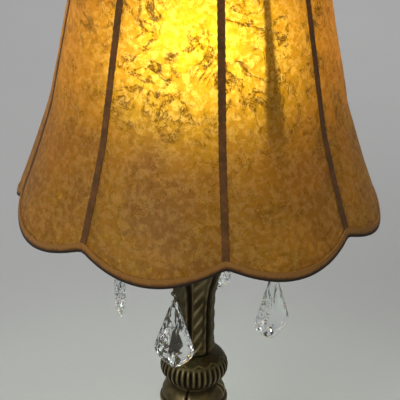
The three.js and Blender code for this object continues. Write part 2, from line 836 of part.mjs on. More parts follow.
addPiece('socket_cap', turned([
  [bore, socketBottom],
  [socketNeckRadius, socketBottom],
  [socketNeckRadius, socketBottom + socketCapHeight * 0.3],
  [socketCapRadius * 0.85, socketBottom + socketCapHeight * 0.5],
  [socketCapRadius, socketBottom + socketCapHeight * 0.7],
  [socketCapRadius, capTop],
  [socketCapRadius - socketSheet, capTop],
  [socketCapRadius - socketSheet, capShoulder],
  [socketCapRadius * 0.85 - socketSheet, capDish],
  [bore, socketBottom + socketCapHeight * 0.4],
], 16), 'brass');
addPiece('socket_shell', cut(turned([
  [shellInside, capTop - socketCapGrip],
  [shellOutside, capTop - socketCapGrip],
  [shellOutside, socketTop],
  [shellInside, socketTop],
], 16), [keyHole]), 'brass');
addPiece('socket_insulator', cut(turned([
  [insulatorInside, capShoulder + fitGap],
  [insulatorOutside, capShoulder + fitGap],
  [insulatorOutside, socketTop - fitGap * 4],
  [insulatorInside, socketTop - fitGap * 4],
], 16), [keyHole]), 'card');
addPiece('socket_interior', cut(turnedSolid([
  [0, interiorBottom],
  [interiorOutside, interiorBottom],
  [interiorOutside, socketTop - fitGap * 8],
  [holderInside, socketTop - fitGap * 8],
  [holderInside, interiorFloor],
  [0, interiorFloor],
], 16), [keyHole]), 'phenolic');

const keyPaddle = new THREE.SphereGeometry(keyPaddleRadius, 8, 5);
keyPaddle.scale(1, keyPaddleThickness / keyPaddleRadius / 2, 1);
const keyPaddleMiddle = keyReach - keyPaddleRadius;
const switchKey = joined([
  pin(new THREE.Vector3(interiorOutside - 5, 0, 0), new THREE.Vector3(keyPaddleMiddle, 0, 0), keyShaftRadius, 8),
  closed(keyPaddle.translate(keyPaddleMiddle, 0, 0)),
]);
const key = addPiece('switch_key', switchKey, 'phenolic');
key.rotation.z = THREE.MathUtils.degToRad(keyTurn - 90);
key.position.z = socketBottom + keyHeight;

// Bulb: screw base and a pear-shaped glass

const bulbBottom = interiorFloor + fitGap;
const bulbGlassBottom = bulbBottom + bulbBaseHeight + seatGap;
const bulbTop = bulbBottom + bulbLength;
const bulbMiddle = bulbTop - bulbRadius;
addPiece('bulb_base', turnedSolid([
  [0, bulbBottom],
  [bulbTipRadius, bulbBottom],
  [bulbTipRadius, bulbBottom + bulbBaseHeight * 0.06],
  [bulbBaseRadius * 0.7, bulbBottom + bulbBaseHeight * 0.12],
  [bulbBaseRadius, bulbBottom + bulbBaseHeight * 0.25],
  [bulbBaseRadius, bulbBottom + bulbBaseHeight],
  [0, bulbBottom + bulbBaseHeight],
], 16), 'steel');
const bulbCrown = [-30, -5, 20, 45, 70].map((latitude) => {
  const angle = THREE.MathUtils.degToRad(latitude);
  return [bulbRadius * Math.cos(angle), bulbMiddle + bulbRadius * Math.sin(angle)];
});
addPiece('bulb_glass', turnedSolid([
  [0, bulbGlassBottom],
  [bulbNeckRadius, bulbGlassBottom],
  [bulbNeckRadius, socketTop],
  [bulbRadius * 0.55, THREE.MathUtils.lerp(socketTop, bulbMiddle, 0.35)],
  ...bulbCrown,
  [0, bulbTop],
], 18), 'glow');

// Bell shade: radius of the skin over the ribs, by height above the rim

const coneRimRadius = shadeRimRadius - skirtFlare;
function ribRadius(height) {
  const cone = THREE.MathUtils.lerp(coneRimRadius, shadeTopRadius, height / shadeHeight);
  const skirt = Math.max(0, 1 - Math.max(0, height) / skirtHeight) ** skirtCurve;
  return cone + skirtFlare * skirt;
}

// A place on the skin: share runs from one rib to the next, inset goes towards the axis
function onSkin(panel, share, height, inset = 0) {
  const inPanel = share - Math.floor(share);
  const belly = 1 + panelBelly * 4 * inPanel * (1 - inPanel);
  const angle = shadeTurn + ((panel + share) * 360) / shadePanels;
  return around(angle, ribRadius(height) * belly - inset, shadeRim + height);
}
const scallop = (share) => -scallopDrop * Math.sin(Math.PI * share);
const columnShares = Array.from({ length: panelColumns + 1 }, (_, i) => i / panelColumns);

// Heights of a panel's rows above the rim: its edge, the top of the edge trim, and more where the skirt curves
const skirtRows = [0.1, 0.2, 0.35];
const rowHeights = (low) => [
  low,
  low + edgeTrimHeight,
  ...skirtRows.map((share) => THREE.MathUtils.lerp(low, shadeHeight, share)),
  shadeHeight,
];

function panelSolid(panel) {
  const sheet = columnShares.map((share) => {
    const seam = (panelSeam / 2 / shadeTopRadius) * (shadePanels / (2 * Math.PI));
    const place = THREE.MathUtils.clamp(share, seam, 1 - seam);
    const heights = rowHeights(scallop(share));
    const outside = heights.map((height) => onSkin(panel, place, height));
    const inside = heights.map((height) => onSkin(panel, place, height, panelThickness)).reverse();
    return [...outside, ...inside];
  });
  const count = sheet[0].length;
  const rows = count / 2;
  const positions = sheet.flat();
  const faces = [];
  const quad = (a, b, c, d) => faces.push(a, b, c, a, c, d);
  for (let i = 0; i < sheet.length - 1; i += 1) {
    for (let j = 0; j < count; j += 1) {
      const k = (j + 1) % count;
      quad(i * count + j, i * count + k, (i + 1) * count + k, (i + 1) * count + j);
    }
  }
  for (const [start, flip] of [[0, true], [(sheet.length - 1) * count, false]]) {
    for (let j = 0; j < rows - 1; j += 1) {
      const edge = [start + j, start + j + 1, start + count - 2 - j, start + count - 1 - j];
      quad(...(flip ? edge.reverse() : edge));
    }
  }
  const geometry = new THREE.BufferGeometry().setFromPoints(positions);
  geometry.setIndex(faces);
  return closed(geometry);
}

for (let panel = 0; panel < shadePanels; panel += 1) {
  addPiece(`shade_panel_${panel + 1}`, panelSolid(panel), 'parchment');
}

// Trim round an edge of the shade, from a section [inset from the skin, rise from the skin's edge]
function edgeTrim(section, edge) {
  const rings = [];
  for (let panel = 0; panel < shadePanels; panel += 1) {
    for (const share of columnShares.slice(0, -1)) {
      rings.push(section.map(([inset, rise]) => onSkin(panel, share, edge(share) + rise, inset)));
    }
  }
  return loft(rings, true);
}
const lipReach = panelThickness + 2 * frameWireRadius + fitGap * 2;
addPiece('bottom_trim', edgeTrim([
  [lipReach, -fitGap - edgeTrimThickness],
  [lipReach, -fitGap],
  [-fitGap, -fitGap],
  [-fitGap, edgeTrimHeight],
  [-fitGap - edgeTrimThickness, edgeTrimHeight],
  [-fitGap - edgeTrimThickness, -fitGap - edgeTrimThickness],
], scallop), 'ribbon');
addPiece('top_trim', edgeTrim([
  [-fitGap, -edgeTrimHeight],
  [-fitGap, edgeTrimThickness],
  [-fitGap - edgeTrimThickness, edgeTrimThickness],
  [-fitGap - edgeTrimThickness, -edgeTrimHeight],
], () => shadeHeight), 'ribbon');

// Ribbon over each rib, between the two edge trims
const ribbonLow = edgeTrimHeight + fitGap;
const ribbonHigh = shadeHeight - edgeTrimHeight - fitGap;
const ribbonHeights = rowHeights(0).filter((height) => height > ribbonLow && height < ribbonHigh);
function ribbonSolid(panel) {
  const rings = [ribbonLow, ...ribbonHeights, ribbonHigh].map((height) => {
    const half = trimWidth / 2 / ((ribRadius(height) * 2 * Math.PI) / shadePanels);
    return [[-half, fitGap], [half, fitGap], [half, fitGap + trimThickness], [-half, fitGap + trimThickness]]
      .map(([share, rise]) => onSkin(panel, share, height, -rise));
  });
  return loft(rings);
}
for (let panel = 0; panel < shadePanels; panel += 1) {
  addPiece(`rib_trim_${panel + 1}`, ribbonSolid(panel), 'ribbon');
}

// Wire frame inside the skin: ribs, top ring and scalloped bottom ring

const wireInset = panelThickness + (frameWireRadius + fitGap) * 1.12;
const wireLow = frameWireRadius + fitGap;
const wireHigh = shadeHeight - frameWireRadius - fitGap;

// A wire through given centres, with a square-on section
function wireLoop(centres, sides) {
  const rings = centres.map((centre) => {
    const outward = new THREE.Vector3(centre.x, centre.y, 0).normalize();
    const ring = [];
    for (let j = 0; j < sides; j += 1) {
      const angle = (2 * Math.PI * (j + 0.5)) / sides;
      const point = centre.clone().addScaledVector(outward, frameWireRadius * Math.cos(angle));
      point.z += frameWireRadius * Math.sin(angle);
      ring.push(point);
    }
    return ring;
  });
  return loft(rings, true);
}

const frameParts = [];
const bottomCentres = [];
const topCentres = [];
for (let panel = 0; panel < shadePanels; panel += 1) {
  for (const share of columnShares.slice(0, -1)) {
    bottomCentres.push(onSkin(panel, share, scallop(share) + wireLow, wireInset));
  }
  for (const share of [0, 0.5]) {
    topCentres.push(onSkin(panel, 0, wireHigh, wireInset)
      .applyAxisAngle(new THREE.Vector3(0, 0, 1), (share * 2 * Math.PI) / shadePanels));
  }
  const ribLine = [wireLow, ...ribbonHeights, wireHigh].map((height) => onSkin(panel, 0, height, wireInset));
  const outward = new THREE.Vector3(ribLine[0].x, ribLine[0].y, 0).normalize();
  const sideways = new THREE.Vector3(-outward.y, outward.x, 0);
  frameParts.push(loft(ribLine.map((centre) => [0, 1, 2, 3].map((j) => {
    const angle = (Math.PI / 2) * (j + 0.5);
    return centre.clone()
      .addScaledVector(outward, frameWireRadius * Math.cos(angle))
      .addScaledVector(sideways, frameWireRadius * Math.sin(angle));
  }))));
}
frameParts.push(wireLoop(bottomCentres, 4));
frameParts.push(wireLoop(topCentres, 4));
addPiece('shade_frame', joined(frameParts), 'wire');

// Spider: four spokes from the top ring down to the washer that sits on the harp's stud

const spokeRadius = frameWireRadius * 0.9;
const spokeRoot = spiderTop - spokeRadius - fitGap;
const spokeReach = ribRadius(wireHigh) - wireInset - frameWireRadius * 1.8;
const spiderParts = [];
for (let i = 0; i < spiderArms; i += 1) {
  const angle = shadeTurn + (360 / spiderArms) * i;
  const spoke = new THREE.CatmullRomCurve3([
    around(angle, spokeReach, shadeRim + wireHigh),
    around(angle, spokeReach * 0.9, THREE.MathUtils.lerp(spokeRoot, shadeRim + wireHigh, 0.3)),
    around(angle, spokeReach * 0.7, spokeRoot + frameWireRadius),
    around(angle, spiderWasherRadius - frameWireRadius, spokeRoot),
  ]);
  spiderParts.push(rod(spoke, spokeRadius, 4, 5));
}
spiderParts.push(turned([
  [spiderHoleRadius, spiderBottom],
  [spiderWasherRadius, spiderBottom],
  [spiderWasherRadius, spiderTop],
  [spiderHoleRadius, spiderTop],
], 12));
addPiece('shade_spider', joined(spiderParts), 'wire');

// Finial: a turned knob with a blind hole for the stud

const finialHole = studRadius + fitGap;
addPiece('finial', turnedSolid([
  [0, finialBottom + finialBore],
  [finialHole, finialBottom + finialBore],
  [finialHole, finialBottom],
  [finialRadius * 0.8, finialBottom],
  [finialRadius * 0.8, finialBottom + finialHeight * 0.08],
  [finialHole * 1.5, finialBottom + finialHeight * 0.2],
  [finialHole * 1.5, finialBottom + finialHeight * 0.3],
  [finialRadius, finialBottom + finialHeight * 0.5],
  [finialRadius * 0.85, finialBottom + finialHeight * 0.68],
  [finialRadius * 0.3, finialBottom + finialHeight * 0.86],
  [finialRadius * 0.35, finialBottom + finialHeight * 0.93],
  [0, finialBottom + finialHeight],
], 14), 'bronze');

export default lamp;
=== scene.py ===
# Looks of a table lamp: antique bronze castings, hanging crystals and a lit parchment bell shade.
# Sizes are in millimetres as in the part's source, and meshes are scaled to metres as they are made.
# Angles round the lamp are counted from its front (-Y) towards +X.

import math

import bmesh
import bpy
from mathutils import Matrix, Vector, noise


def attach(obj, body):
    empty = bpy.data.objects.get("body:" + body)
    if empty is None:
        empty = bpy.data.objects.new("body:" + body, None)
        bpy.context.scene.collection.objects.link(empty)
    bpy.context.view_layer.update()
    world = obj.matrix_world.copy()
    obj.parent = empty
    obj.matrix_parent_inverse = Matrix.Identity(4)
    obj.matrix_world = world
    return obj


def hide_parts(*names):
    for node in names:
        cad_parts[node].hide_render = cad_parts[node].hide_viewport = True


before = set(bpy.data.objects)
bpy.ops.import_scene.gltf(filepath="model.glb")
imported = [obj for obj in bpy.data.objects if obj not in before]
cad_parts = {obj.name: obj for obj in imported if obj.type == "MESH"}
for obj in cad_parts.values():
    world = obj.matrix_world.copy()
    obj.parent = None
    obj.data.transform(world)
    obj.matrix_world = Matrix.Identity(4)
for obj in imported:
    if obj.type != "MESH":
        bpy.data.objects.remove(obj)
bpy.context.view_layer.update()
MM = 0.001

# Relief and wear of sides that are out of sight
HIDDEN = (0, 0.2)

# Fits between pieces
SEAT_GAP = 0.2
FIT_GAP = 0.3
BORE = 5.3
CORE = 0.2

# Foot, stem and urn
FOOT_RADIUS = 78
FOOT_BOTTOM = 2.2
FOOT_PLINTH_TOP = 14.2
FOOT_TOP = 42.2
FOOT_NECK_RADIUS = 20
FOOT_WALL = 4
FOOT_STEP = 5
FOOT_SLOPE_BOTTOM = FOOT_PLINTH_TOP + 2.5
FOOT_LOBES = 8
FOOT_LEAVES = 32
BUSHING_HEIGHT = (FOOT_BOTTOM + FOOT_PLINTH_TOP) / 2
BUSHING_BORE = 2.4
BUSHING_RADIUS = 3.5
BUSHING_HOLE_RADIUS = BUSHING_RADIUS + FIT_GAP
BUSHING_FLANGE_RADIUS = 5
BUSHING_FLANGE_HEIGHT = 1.8
BUSHING_DEPTH = 9
STEM_HEIGHT = 27.4
STEM_BOTTOM = FOOT_TOP + SEAT_GAP
STEM_TOP = STEM_BOTTOM + STEM_HEIGHT
STEM_WAIST_RADIUS = 11
STEM_RING_RADIUS = 17
URN_HEIGHT = 72
URN_BOTTOM = STEM_TOP + SEAT_GAP
URN_TOP = URN_BOTTOM + URN_HEIGHT
URN_WAIST_RADIUS = 14
URN_BELLY_RADIUS = 33
URN_TOP_RADIUS = 35
URN_LOBES = 8
URN_LOBE_DEPTH = 1.3
URN_REEDS = 48

# Beaded ring, creased shoulder and gadrooned knob
BEAD_RING_RADIUS = 37
BEAD_RING_HEIGHT = 9.6
BEAD_COUNT = 48
BEAD_DEPTH = 2.1
BEAD_HEIGHT_SHARE = 0.62
BEAD_BOTTOM = URN_TOP + SEAT_GAP
BEAD_TOP = BEAD_BOTTOM + BEAD_RING_HEIGHT
SHOULDER_HEIGHT = 16.3
SHOULDER_FOOT_RADIUS = 34.6
SHOULDER_TOP_RADIUS = 24
SHOULDER_CREASES = 4
SHOULDER_CREASE_DEPTH = 1.8
SHOULDER_BOTTOM = BEAD_TOP + SEAT_GAP
SHOULDER_TOP = SHOULDER_BOTTOM + SHOULDER_HEIGHT
KNOB_RADIUS = 36.6
KNOB_HALF_HEIGHT = 24
KNOB_NECK_RADIUS = 23
GADROON_COUNT = 36
GADROON_DEPTH = 1.7
GADROON_TOP = 27
GADROON_BOTTOM = -30
KNOB_PETALS = 12
KNOB_TOP_LATITUDE = 57
COLUMN_RADIUS = 19.7
KNOB_BOTTOM = SHOULDER_TOP + SEAT_GAP
KNOB_MIDDLE = KNOB_BOTTOM + KNOB_HALF_HEIGHT * math.sqrt(1 - (KNOB_NECK_RADIUS / KNOB_RADIUS) ** 2)
KNOB_TOP = KNOB_MIDDLE + KNOB_HALF_HEIGHT * math.sqrt(1 - (COLUMN_RADIUS / KNOB_RADIUS) ** 2)

# Leaf column, its hub and the arms
COLUMN_HEIGHT = 107.6
COLUMN_BOTTOM = KNOB_TOP + SEAT_GAP
COLUMN_TOP = COLUMN_BOTTOM + COLUMN_HEIGHT
COLUMN_LIP_RADIUS = 34
COLUMN_FLARE_START = 0.45
COLUMN_FLARE_POWER = 2.3
COLUMN_DISH = 4
COLUMN_LIP_WALL = 5
LEAF_COUNT = 6
LEAF_TURN = -6
LEAF_BORDER = 20
SEPALS = 2 * LEAF_COUNT
BARB_PITCH = 16
BARB_CLIMB = 0.31
HUB_RADIUS = 15
HUB_RIM_RADIUS = 18
HUB_HEIGHT = 24
HUB_REEDS = 40
HUB_BOTTOM = COLUMN_TOP - COLUMN_DISH + SEAT_GAP
HUB_TOP = HUB_BOTTOM + HUB_HEIGHT
ARM_COUNT = 4
ARM_TURN = -14
ARM_REACH = 83
ARM_CREST = 15
ARM_ROOT_RADIUS = 4
ARM_TIP_RADIUS = 2.1
ARM_LEAF_HALF_WIDTH = 5.2
ARM_LEAF_THICKNESS = 1.1
CURL_RADIUS = 4.6
CURL_SWEEP = 408
ARM_HEIGHT = HUB_BOTTOM + HUB_HEIGHT / 2
EYE_DROP = 2
EYE_HEIGHT = ARM_HEIGHT - EYE_DROP
EYE_RING_RADIUS = 3.4
EYE_WIRE_RADIUS = 1.2

# Hooks and crystals
HOOK_WIRE_RADIUS = 0.7
HOOK_TOP_RADIUS = 3
HOOK_BOTTOM_RADIUS = 5
HOOK_LENGTH = 15
HOOK_HEIGHT = EYE_HEIGHT - EYE_RING_RADIUS + EYE_WIRE_RADIUS + HOOK_WIRE_RADIUS + FIT_GAP
CRYSTAL_TOP = 3.7
CRYSTAL_LENGTH = 76
CRYSTAL_WIDTH = 41
CRYSTAL_THICKNESS = 11.6
CRYSTAL_EDGE = 1.8
CRYSTAL_HEAD = 3.2
CRYSTAL_HOLE_RADIUS = 1.9
CRYSTAL_HOLE_DROP = 0.75
CRYSTAL_TURNS = (0, -46, 0, 21)
# Rings of facets, from the edge to the table: size, shift along the outline, and share of the thickness
CRYSTAL_RINGS = ((1, 0, 0), (0.88, 0.5, 0.5), (0.73, 0, 0.8), (0.57, 0.5, 0.93), (0.38, 0, 1))
CRYSTAL_MIDDLE = 0.62
# One side has a net of fine facets: its corners lie high and low in turn
CRYSTAL_NET = (1.06, 0.5)
CRYSTAL_NET_EDGE = 0.15
# Outline: how far down a place is, and its half width as a share
CRYSTAL_RIM = (
    (0.0, 0.137), (0.06, 0.19), (0.13, 0.31), (0.21, 0.395), (0.3, 0.52), (0.39, 0.625), (0.48, 0.745),
    (0.57, 0.86), (0.66, 0.96), (0.74, 1.0), (0.81, 0.9), (0.88, 0.7), (0.94, 0.42), (1.0, 0.05),
)

# Riser, check ring, harp and socket
RISER_RADIUS = 11
RISER_COLLAR_RADIUS = 13.5
RISER_BOTTOM = HUB_TOP + SEAT_GAP
RISER_HEIGHT = 112
RISER_TOP = RISER_BOTTOM + RISER_HEIGHT
RISER_WALL = 1.2
RISER_FLUTES = 12
CHECK_RING_RADIUS = 14
CHECK_RING_BOTTOM = RISER_TOP + SEAT_GAP
CHECK_RING_HEIGHT = 6
CHECK_RING_TOP = CHECK_RING_BOTTOM + CHECK_RING_HEIGHT
SADDLE_BOTTOM = CHECK_RING_TOP + SEAT_GAP
SADDLE_SHEET = 1.5
SADDLE_TOP = SADDLE_BOTTOM + SADDLE_SHEET
SADDLE_REACH = 12
SADDLE_HALF_WIDTH = 6
SADDLE_TAB_HEIGHT = 14
SADDLE_TAB_HALF_WIDTH = 1.5
HARP_TURN = 37
HARP_HEIGHT = 203
HARP_WIRE_RADIUS = 1.6
HARP_FOOT_REACH = 35
HARP_BOW_REACH = 58
HARP_TOP = SADDLE_TOP + HARP_HEIGHT
SADDLE_TAB_OUTSIDE = HARP_FOOT_REACH - HARP_WIRE_RADIUS - FIT_GAP
FERRULE_HEIGHT = 13
FERRULE_BORE = 3.4
FERRULE_RADIUS = 4.2
STUD_BOTTOM = HARP_TOP + FIT_GAP
STUD_RADIUS = 3.2
STUD_HEIGHT = 14
STUD_FLANGE_RADIUS = 7
STUD_FLANGE_HEIGHT = 2
STUD_PITCH = 0.94
STUD_THREAD_DEPTH = 0.35
SOCKET_BOTTOM = SADDLE_TOP + SEAT_GAP
SOCKET_HEIGHT = 62
SOCKET_TOP = SOCKET_BOTTOM + SOCKET_HEIGHT
SOCKET_NECK_RADIUS = 8
SOCKET_CAP_RADIUS = 18.4
SOCKET_CAP_HEIGHT = 20
SOCKET_SHEET = 0.8
SOCKET_CONTACT = SOCKET_BOTTOM + 29.5
KEY_HEIGHT = SOCKET_BOTTOM + 24
KEY_TURN = 115
KEY_REACH = 30
KEY_SHAFT_START = 9.9
KEY_SHAFT_RADIUS = 1.5
KEY_PADDLE_RADIUS = 5.5
KEY_PADDLE_MIDDLE = KEY_REACH - KEY_PADDLE_RADIUS

# Bulb
BULB_HEIGHT = 110
BULB_BOTTOM = SOCKET_CONTACT + FIT_GAP
BULB_BASE_HEIGHT = 24
BULB_BASE_RADIUS = 13
BULB_THREAD_PITCH = 3.6
BULB_THREAD_DEPTH = 0.8
BULB_NECK_BOTTOM = BULB_BOTTOM + BULB_BASE_HEIGHT + SEAT_GAP
BULB_NECK_RADIUS = 12.2
BULB_RADIUS = 30
BULB_TOP = BULB_BOTTOM + BULB_HEIGHT
BULB_MIDDLE = BULB_TOP - BULB_RADIUS

# Bell shade
PANELS = 8
PANEL_ANGLE = 360 / PANELS
SHADE_TURN = 9
SHADE_HEIGHT = 288
SHADE_TOP_RADIUS = 105
CONE_RIM_RADIUS = 162.5
SKIRT_FLARE = 14
SKIRT_HEIGHT = 100
SKIRT_CURVE = 1.25
SCALLOP_DROP = 17
PANEL_BELLY = 0.03
PANEL_THICKNESS = 1
PANEL_SEAM = 0.002
PANEL_COLUMNS = 36
PANEL_ROWS = 80
TRIM_WIDTH = 7
TRIM_THICKNESS = 0.8
TRIM_OVERLAP = 1.6
TRIM_COLUMNS = 8
TRIM_ROWS = 260
EDGE_TRIM_HEIGHT = 7.5
EDGE_TRIM_THICKNESS = 1.2
FRAME_WIRE_RADIUS = 1.4
WIRE_INSET = PANEL_THICKNESS + (FRAME_WIRE_RADIUS + FIT_GAP) * 1.12
SPIDER_BOTTOM = STUD_BOTTOM + STUD_FLANGE_HEIGHT + SEAT_GAP
SPIDER_THICKNESS = 2
SPIDER_TOP = SPIDER_BOTTOM + SPIDER_THICKNESS
SPIDER_RADIUS = 12
SPIDER_DROP = 24
SHADE_TOP = SPIDER_BOTTOM + SPIDER_DROP
SHADE_RIM = SHADE_TOP - SHADE_HEIGHT
FINIAL_BOTTOM = SPIDER_TOP + SEAT_GAP
FINIAL_HEIGHT = 43
FINIAL_RADIUS = 11
FINIAL_LOBES = 12
FINIAL_HOLE_RADIUS = STUD_RADIUS + FIT_GAP
FINIAL_HOLE_DEPTH = 11

# The bulb's light in the parchment, and the shadow of the harp's legs, which narrows upwards
HARP_SHADOW_TURN = 29
HARP_SHADOW_LOW = SHADE_RIM + 90
HARP_SHADOW_HIGH = SHADE_RIM + 225
HARP_SHADOW_HALF_ANGLES = (0.11, 0.042)
GLOW_MIDDLE = BULB_MIDDLE + 40
GLOW_COLOUR = (0.13, 0.06, 0.002, 1)
THROUGH = 0.62
BULB_STRENGTH = 12.0
BULB_WATTS = 4.8
BULB_SOFTNESS = 85
BULB_COLOUR = (0.74, 1.0, 0.8)

# Room and camera
AMBIENT = 0.2
FLOOR_CORNERS = ((-8, -6, 0), (8, -6, 0), (8, 10, 0), (-8, 10, 0))
LENS = 117.35
SENSOR = 36
AIM = Vector((0.0033, 0, 0.3824))
DISTANCE = 1.33
ELEVATION = 25.1
ROLL = 1.0


# Shapes


def circle(radius, degrees):
    angle = math.radians(degrees)
    return radius * math.cos(angle), radius * math.sin(angle)


def around(degrees, radius, height):
    across, outwards = circle(radius, degrees)
    return Vector((outwards, -across, height))


def lerp(a, b, share):
    return a + (b - a) * share


def smooth(value, low, high):
    share = min(1, max(0, (value - low) / (high - low)))
    return share * share * (3 - 2 * share)


def bump(value, centre, width):
    return math.exp(-(((value - centre) / width) ** 2))


def ridges(angle, count):
    """1 on each of count ridges round the axis, down to 0 between them."""
    return abs(math.cos(math.radians(angle * count / 2)))


def held(name, data):
    """An object in the scene that holds a mesh, a lamp or the camera."""
    made = bpy.data.objects.new(name, data)
    bpy.context.scene.collection.objects.link(made)
    return made


def place(name, points, faces, body, slot, nodes, sharp=40, wear_and_shade=None):
    """A mesh piece that rides on a body and stands for the named CAD nodes."""
    mesh = bpy.data.meshes.new(name)
    mesh.from_pydata([Vector(point) * MM for point in points], [], faces)
    if wear_and_shade is not None:
        mesh.attributes.new("wear_and_shade", "FLOAT", "POINT").data.foreach_set("value", wear_and_shade)
    tidy = bmesh.new()
    tidy.from_mesh(mesh)
    bmesh.ops.remove_doubles(tidy, verts=tidy.verts, dist=1e-6)
    bmesh.ops.recalc_face_normals(tidy, faces=tidy.faces)
    tidy.to_mesh(mesh)
    tidy.free()
    mesh.shade_smooth()
    mesh.set_sharp_from_angle(angle=math.radians(sharp))
    mesh.materials.append(finishes[slot])
    piece = held(name, mesh)
    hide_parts(*nodes)
    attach(piece, body)
    return piece


def grid_faces(rows, count, closed_rows, closed_ring=True):
    """Faces over rows of points, each row with the same count."""
    faces = []
    for i in range(rows if closed_rows else rows - 1):
        here = i * count
        after = (i + 1) % rows * count
        for j in range(count if closed_ring else count - 1):
            k = (j + 1) % count
            faces.append((here + j, here + k, after + k, after + j))
    return faces


def rounded(outline, radius, steps, closed=True):
    """The outline with its corners rounded."""
    made = []
    count = len(outline)
    for i, corner in enumerate(outline):
        if not closed and i in (0, count - 1):
            made.append(tuple(corner))
            continue
        here = Vector(corner)
        before = Vector(outline[i - 1]) - here
        after = Vector(outline[(i + 1) % count]) - here
        start = here + before * min(0.45, radius / max(before.length, 1e-6))
        end = here + after * min(0.45, radius / max(after.length, 1e-6))
        for k in range(steps + 1):
            t = k / steps
            made.append(tuple(start * (1 - t) ** 2 + here * 2 * t * (1 - t) + end * t**2))
    return made


def dense(outline, spacing):
    """The closed outline with points no further apart than spacing."""
    made = []
    for a, b in zip(outline, [*outline[1:], outline[0]]):
        a, b = Vector(a), Vector(b)
        parts = max(1, math.ceil((b - a).length / spacing))
        made.extend(tuple(a.lerp(b, k / parts)) for k in range(parts))
    return made


def at_shares(bottom, height, knots):
    """Points of a section from radii and shares of its height."""
    return [(radius, bottom + height * share) for radius, share in knots]


def turned(name, section, steps, body, slot, nodes, relief=None, sharp=40, middle=None):
    """A turned piece from a section [radius, height] that closes on itself.
    relief gives how far a place stands out, and what share of it is worn bright."""
    points, wear_and_shade = [], []
    for i in range(steps):
        angle = 360 * i / steps
        for radius, height in section:
            out, worn = relief(radius, height, angle) if relief else (0, 0.35)
            point = around(angle, radius + out, height)
            points.append(point + middle if middle else point)
            wear_and_shade.append(worn)
    return place(name, points, grid_faces(steps, len(section), True), body, slot, nodes, sharp, wear_and_shade)


def tube(path, radius, sides, closed=False):
    """Points and faces of a round bar along a path; radius may be a number or one number per point."""
    points = []
    count = len(path)
    radii = radius if isinstance(radius, list) else [radius] * count
    normal = None
    for i in range(count):
        ahead = path[(i + 1) % count] if closed or i < count - 1 else path[i]
        behind = path[i - 1] if closed or i > 0 else path[i]
        along = (ahead - behind).normalized()
        if normal is None:
            normal = along.orthogonal().normalized()
        normal = (normal - along * normal.dot(along)).normalized()
        side = along.cross(normal)
        for j in range(sides):
            turn = 2 * math.pi * j / sides
            points.append(path[i] + (normal * math.cos(turn) + side * math.sin(turn)) * radii[i])
    faces = grid_faces(count, sides, closed)
    if not closed:
        faces.append(tuple(range(sides)))
        faces.append(tuple(range((count - 1) * sides, count * sides)))
    return points, faces


def curve(knots, steps):
    """A smooth path through knots."""
    ends = [knots[0] * 2 - knots[1], *knots, knots[-1] * 2 - knots[-2]]
    path = []
    for i in range(len(knots) - 1):
        a, b, c, d = ends[i : i + 4]
        for k in range(steps):
            t = k / steps
            bend = (a * 2 - b * 5 + c * 4 - d) * t**2
            path.append((b * 2 + (c - a) * t + bend + (b * 3 - a - c * 3 + d) * t**3) / 2)
    path.append(knots[-1])
    return path


def profile(knots, steps):
    """A smooth line of a section, through knots of radius and height."""
    return [(point.x, point.y) for point in curve([Vector(knot) for knot in knots], steps)]


def bored(piece, points, faces):
    """Takes the shape given by points and faces out of a piece."""
    tool = held("tool", bpy.data.meshes.new("tool"))
    tool.data.from_pydata([point * MM for point in points], [], faces)
    cut = piece.modifiers.new("cut", "BOOLEAN")
    cut.object = tool
    with bpy.context.temp_override(object=piece, active_object=piece):
        bpy.ops.object.modifier_apply(modifier="cut")
    bpy.data.objects.remove(tool)


def drilled(piece, start, end, radius, sides):
    """Takes a round hole from start to end out of a piece."""
    bored(piece, *tube([Vector(start), Vector(end)], radius, sides))


def taken(shape):
    """Points and faces of a bmesh, which is freed."""
    shape.verts.index_update()
    made = [v.co.copy() for v in shape.verts], [tuple(v.index for v in f.verts) for f in shape.faces]
    shape.free()
    return made


def slab(rows):
    """Points and faces of a sheet; each row goes along one side of it and back along the other."""
    count = len(rows[0])
    faces = grid_faces(len(rows), count, False)
    for start in (0, (len(rows) - 1) * count):
        for j in range(count // 2 - 1):
            faces.append((start + j, start + j + 1, start + count - 2 - j, start + count - 1 - j))
    return [point for row in rows for point in row], faces


def combined(*shapes):
    """Several shapes of points and faces as one."""
    points, faces = [], []
    for some_points, some_faces in shapes:
        start = len(points)
        points.extend(some_points)
        faces.extend(tuple(index + start for index in face) for face in some_faces)
    return points, faces


# Finishes


def tint(red, green, blue):
    """A colour given as it looks on a screen, 0 to 255."""
    shares = [c / 255 for c in (red, green, blue)]
    return (*[((c + 0.055) / 1.055) ** 2.4 if c > 0.04 else c / 12.92 for c in shares], 1)


